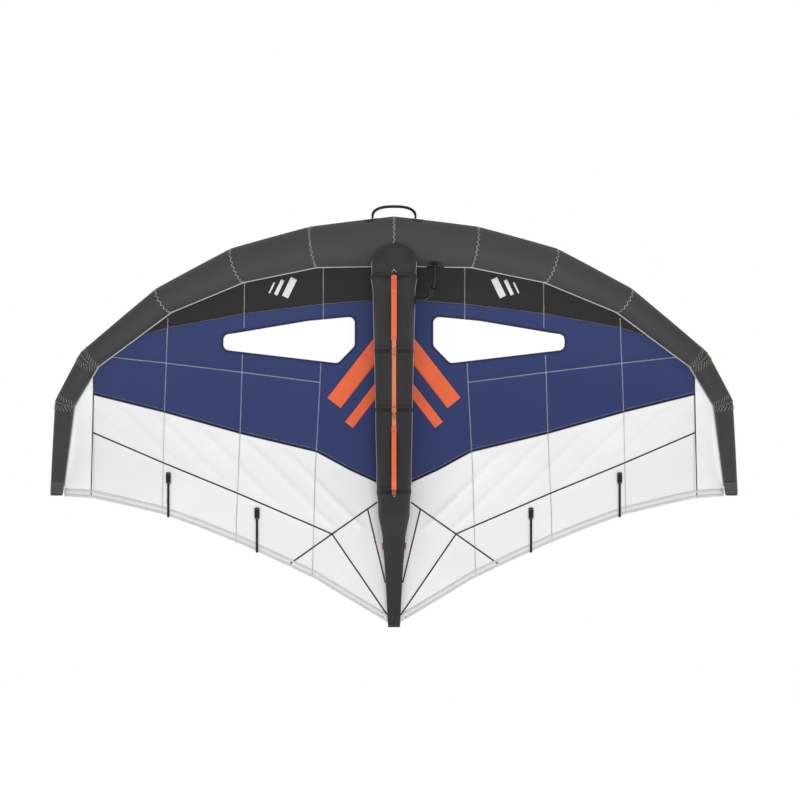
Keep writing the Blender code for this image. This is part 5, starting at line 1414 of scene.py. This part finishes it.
soles = [nose_patch(sign, BOW_HALF_WIDTH + 0.002, 0.034, math.pi, math.radians(30), ABOVE_CLOTH)
         for sign in (1, -1)]
finish_piece(wall(joined("bow_patches", soles), 0.0008), black_webbing, "wing", "black_webbing")
print("bow", round(2 * BOW_HALF_WIDTH, 3), "m wide,", round(BOW_TUBE_RADIUS * 2 - BOW_PIVOT_Z, 3), "m high")

# %% [markdown]
# Four thin glass battens stiffen the free edge. Each slides into a narrow webbing sleeve with a
# wider stitched head, and its end sticks out of the sleeve a little.

# %% Batten sleeves
SLEEVE_LENGTH = 0.225
SLEEVE_LIFT = 0.0020 + 0.0012 + 0.0022   # half the solid cloth, a gap, and half the solid sleeve
SLEEVE_WIDTH, SLEEVE_HEAD_EXTRA, SLEEVE_THICK = 0.0115, 0.0140, 0.0042
HEAD_START = 0.166
TACK_ROWS = (60, 76)
TACK_HALF = 0.0105


def sleeve_path(x, count):
    """A line under the canopy, from just behind the hem forwards, and the cloth's slope beside it."""
    bottom = edge_z(x) - 0.006
    z = np.linspace(bottom, bottom + SLEEVE_LENGTH, count)
    y = canopy_y(x, np.maximum(z, edge_z(x)))
    inside = np.maximum(z, edge_z(x) + 0.012)
    slope = (canopy_y(x + 0.012, inside) - canopy_y(x - 0.012, inside)) / 0.024
    return np.stack((np.full_like(z, x), y - SLEEVE_LIFT, z), axis=1), unit(
        np.stack((np.ones_like(z), slope, np.zeros_like(z)), axis=1))


stitch_rows = []
for side, sign in (("right", 1), ("left", -1)):
    for place, share in (("inner", 0.396), ("outer", 0.653)):
        path, across = sleeve_path(HALF_SPAN * share, 80)
        up = np.linspace(0, SLEEVE_LENGTH, len(path))
        head = ease((up - HEAD_START) / 0.006) * ease((SLEEVE_LENGTH - up) / 0.004 + 0.4)
        width = SLEEVE_WIDTH + SLEEVE_HEAD_EXTRA * head
        path, across = path * (sign, 1, 1), across * (1, sign, 1)
        sleeve = closed(f"batten_pocket_{side}_{place}", bar(path, width, SLEEVE_THICK, 6.0, across),
                        path_uv(path, 24, WEBBING_GIRTH))
        finish_piece(sleeve, black_webbing, "wing", "black_webbing", f"batten_sleeve_{side}_{place}")
        out = unit(np.cross(along_path(path), across))
        out = out * np.sign(-out[:, 1:2])
        reach = np.linspace(-TACK_HALF, TACK_HALF, 12)[:, None]
        wave = 0.0012 * (np.arange(12) % 2)[:, None] * np.array((0.0, 0.0, 1.0))
        stitch_rows += [thread(path[row] + across[row] * reach + out[row] * 0.0024 + wave, 0.0006, out[row])
                        for row in TACK_ROWS]
sewn("pocket_stitching", stitch_rows, straw_thread, "black_webbing")

# %% [markdown]
# The air hose links the nose tube to the strut, so that both fill from one valve. It leaves each
# spigot straight and bends through one smooth quarter turn, a Bezier curve whose pulls are a little
# under half of the distance between the spigots.

# %% Hose and fittings
FLANGE = 0.0006 + 0.0030
NECK = FLANGE + 0.016
HOSE_RADIUS = 0.0075
HOSE_PULL = 0.45
first, last = PORT_PLACE + PORT_AXIS * NECK, STRUT_PORT + ACROSS * NECK
pull = np.linalg.norm(last - first) * HOSE_PULL
t = np.linspace(0, 1, 40)[:, None]
curve = ((1 - t) ** 3 * first + 3 * (1 - t) ** 2 * t * (first + PORT_AXIS * pull)
         + 3 * (1 - t) * t ** 2 * (last + ACROSS * pull) + t ** 3 * last)
hose_path = np.concatenate(([PORT_PLACE + PORT_AXIS * FLANGE], curve, [STRUT_PORT + ACROSS * FLANGE]))
hose_path = resampled(hose_path, 0.005)
hose = closed("air_hose", tube(hose_path, HOSE_RADIUS, 20), path_uv(hose_path, 20, 2 * math.pi * HOSE_RADIUS))
finish_piece(hose, hose_rubber, "wing", "hose_rubber", "link_hose")

# %% [markdown]
# The rigid fittings already have their own shape in the solids: the valve and its lid, the spigots,
# the hose's clip and lever, the tail cap, the inner bladders and the battens. They only get a better
# material, on the object's own material slot.

# %% Materials of the fittings
def dress(look, *nodes):
    """Gives plain solids that keep their own shape a better material."""
    for node in nodes:
        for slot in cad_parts[node].material_slots:
            slot.link = "OBJECT"
            slot.material = look
    print(look.name, "on", ", ".join(nodes))


dress(moulded_nylon, "valve_base", "valve_body", "valve_cap", "nose_port", "strut_port", "hose_clip",
      "hose_clip_lever")
dress(flap_rubber, "valve_flap")
dress(black_webbing, "tail_cap")
dress(bladder_film, "nose_bladder", "strut_bladder")
dress(batten_glass, *[f"batten_{side}_{place}" for side in sides for place in ("inner", "outer")])

# %% [markdown]
# Round each spigot a dark oval of cloth is sewn on, because the hole weakens the casing. A narrow
# pale cord runs along both sides of the strut's outline, as far as the white cloth: a painted
# highlight for the light rim where the strut turns away. Near each tip the tube's end is stitched
# again and again.

# %% Port patches, painted rim highlight cords and tip stitches
OVAL_REACH, OVAL_LIFT, OVAL_WALL = 0.040, 0.0008, 0.0006
spoke = PORT_PLACE - CORNERS[0] - DIRECTIONS[0] * np.dot(PORT_PLACE - CORNERS[0], DIRECTIONS[0])
back, up = tube_axes(DIRECTIONS[0])
nose_port_angle = math.atan2(np.dot(spoke, up), np.dot(spoke, back))
strut_port_angle = math.atan2(STRUT_PORT[1] - strut_middle(STRUT_PORT[2]), STRUT_PORT[0])
z, angles = oval(STRUT_PORT[2], OVAL_REACH, strut_port_angle, math.radians(17))
ovals = [nose_patch(1, PORT_PLACE[0] + 0.003, OVAL_REACH, nose_port_angle, math.radians(11), OVAL_LIFT),
         (strut_point(z, angles, OVAL_LIFT), stacked(z, angles * 0.1), False, False)]
port_patches = wall(joined("port_patches", ovals), OVAL_WALL)
finish_piece(port_patches, black_webbing, "wing", "black_webbing")
drill(port_patches, PORT_PLACE, PORT_AXIS, *PORT_HOLE)
drill(port_patches, STRUT_PORT, ACROSS, *PORT_HOLE)


def port_pad(centre, sizes):
    """A soft oval pad: an ellipsoid with its long side along the seam it covers."""
    lat = np.linspace(0.12, math.pi - 0.12, 13)[:, None]
    lon = np.linspace(0, 2 * math.pi, 24, endpoint=False)
    ball = stacked(np.cos(lat), np.sin(lat) * np.cos(lon), np.sin(lat) * np.sin(lon))
    return np.asarray(centre) + ball * sizes, None, True, True


piping_x = 0.2065
piping_y, piping_z = (np.interp(piping_x, FRONT[:, 0], FRONT[:, column]) for column in (1, 2))
pads = [port_pad((piping_x, piping_y - 0.006, piping_z - 0.002), (0.045, 0.012, 0.0125)),
        port_pad(STRUT_PORT + (-0.001, 0.012, 0.0), (0.0085, 0.010, 0.034))]
finish_piece(face_out(joined("port_pads", pads)), black_webbing, "wing", "black_webbing")

# Painted highlight: pale cords on the strut's outline stand for its light rim.
rim_highlight_paths = [strut_point(np.linspace(-0.268, -1.385, 90), angle, ABOVE_CLOTH) for angle in (0.0, math.pi)]
cords = [(tube(path, 0.0022, 6), path_uv(path, 6, 0.014), True, True) for path in rim_highlight_paths]
sewn("strut_rim_highlight_cords", cords, grey_thread, "white_ripstop")

rows = []
for distance in (0.020, 0.034, 0.048, 0.062):
    share = distance / np.linalg.norm(CORNERS[LAST] - CORNERS[LAST - 1])
    radius = CORNER_RADIUS[LAST] + (CORNER_RADIUS[LAST - 1] - CORNER_RADIUS[LAST]) * share
    rows += slanted_stitches(CORNERS[LAST] - DIRECTIONS[-1] * distance, radius, DIRECTIONS[-1], 20, 0.010)
sewn("tip_stitching", rows, straw_thread, "casing_cloth")

# %% [markdown]
# The printed pattern is plain: three slanted bars of different width on the black band, and two
# broad slanted bars on the blue cloth at each side of the strut, the same to the left and the
# right. The prints are films of ink on both faces of the cloth.

# %% Printed bars
PRINT_LIFT = 0.0007
PRINT_THICK = 0.0002


def print_bars(name, look, bars):
    """Bars of ink on both faces of the cloth, right and left; each is start, end and width."""
    rows = [ribbon(line, width, lift, across=9) for start, end, width in bars
            for line in both_sides([(start, end)]) for lift in (-PRINT_LIFT, PRINT_LIFT)]
    finish_piece(wall(joined(name, rows), PRINT_THICK), look, "wing", "blue_ripstop")


print_bars("pale_bars", printed_white, (
    ((0.500, -0.352), (0.545, -0.445), 0.034),
    ((0.556, -0.360), (0.592, -0.434), 0.018),
    ((0.598, -0.372), (0.624, -0.426), 0.008)))
print_bars("orange_bars", printed_orange, (
    ((0.050, -0.655), (0.300, -0.975), 0.085),
    ((0.050, -0.860), (0.225, -1.085), 0.050)))

# %% [markdown]
# The photograph has a pure white ground and almost no shadows. So the sky is plain white, and the
# floor is a wide sheet of white paper, which glows a little to stay white where the wing shades it.
# One wide soft light from above and beside the camera gives the tubes their shape, and a weaker one
# on the other side opens the shadows. The camera sees the sky at full strength, and the wing is lit
# by a weaker one.

# %% Stage and light
FLOOR_Z = -2.9
FLOOR_HALF = 40.0
FLOOR_GLOW = 0.60
SKY_LIGHT = 0.62
AIM = (0.0, 0.1, -1.0)
LAMPS = (("key_light", (1.5, -8.0, 7.5), 360.0, 4.0), ("fill_light", (-5.0, -9.0, 2.0), 60.0, 5.0))


def make_stage():
    """A flat square of white paper below the wing."""
    x, y = np.meshgrid((-FLOOR_HALF, FLOOR_HALF), (-FLOOR_HALF, FLOOR_HALF))
    stage = surface("paper_floor", stacked(x, y, FLOOR_Z))
    look, tree, shader = new_look("white_paper", 0.9, specular=0.1)
    tree.links.new(tone(tree, "#FFFFFF", 0.4, 0.004), shader.inputs["Base Color"])
    shader.inputs["Emission Color"].default_value = linear("#FFFFFF")
    shader.inputs["Emission Strength"].default_value = FLOOR_GLOW
    stage.data.materials.append(look)


make_stage()
for name, place, power, size in LAMPS:
    lamp = bpy.data.lights.new(name, "AREA")
    lamp.energy, lamp.size = power, size
    light = bpy.data.objects.new(name, lamp)
    light.location = place
    light.rotation_euler = mathutils.Vector(np.subtract(AIM, place)).to_track_quat("-Z", "Y").to_euler()
    bpy.context.scene.collection.objects.link(light)
sky = bpy.data.worlds.new("white_sky")
sky.use_nodes = True
sky.node_tree.nodes["Background"].inputs["Color"].default_value = (1.0, 1.0, 1.0, 1.0)
seen = add(sky.node_tree, "LightPath").outputs["Is Camera Ray"]
strength = add(sky.node_tree, "Math", {"operation": "MULTIPLY_ADD"},
               _0=seen, _1=1.0 - SKY_LIGHT, _2=SKY_LIGHT)
sky.node_tree.links.new(strength.outputs[0], sky.node_tree.nodes["Background"].inputs["Strength"])
bpy.context.scene.world = sky
bpy.context.scene.view_settings.view_transform = "Standard"
print("floor", round(TAIL_Z - FLOOR_Z, 3), "m below the tail;", len(LAMPS), "lights")
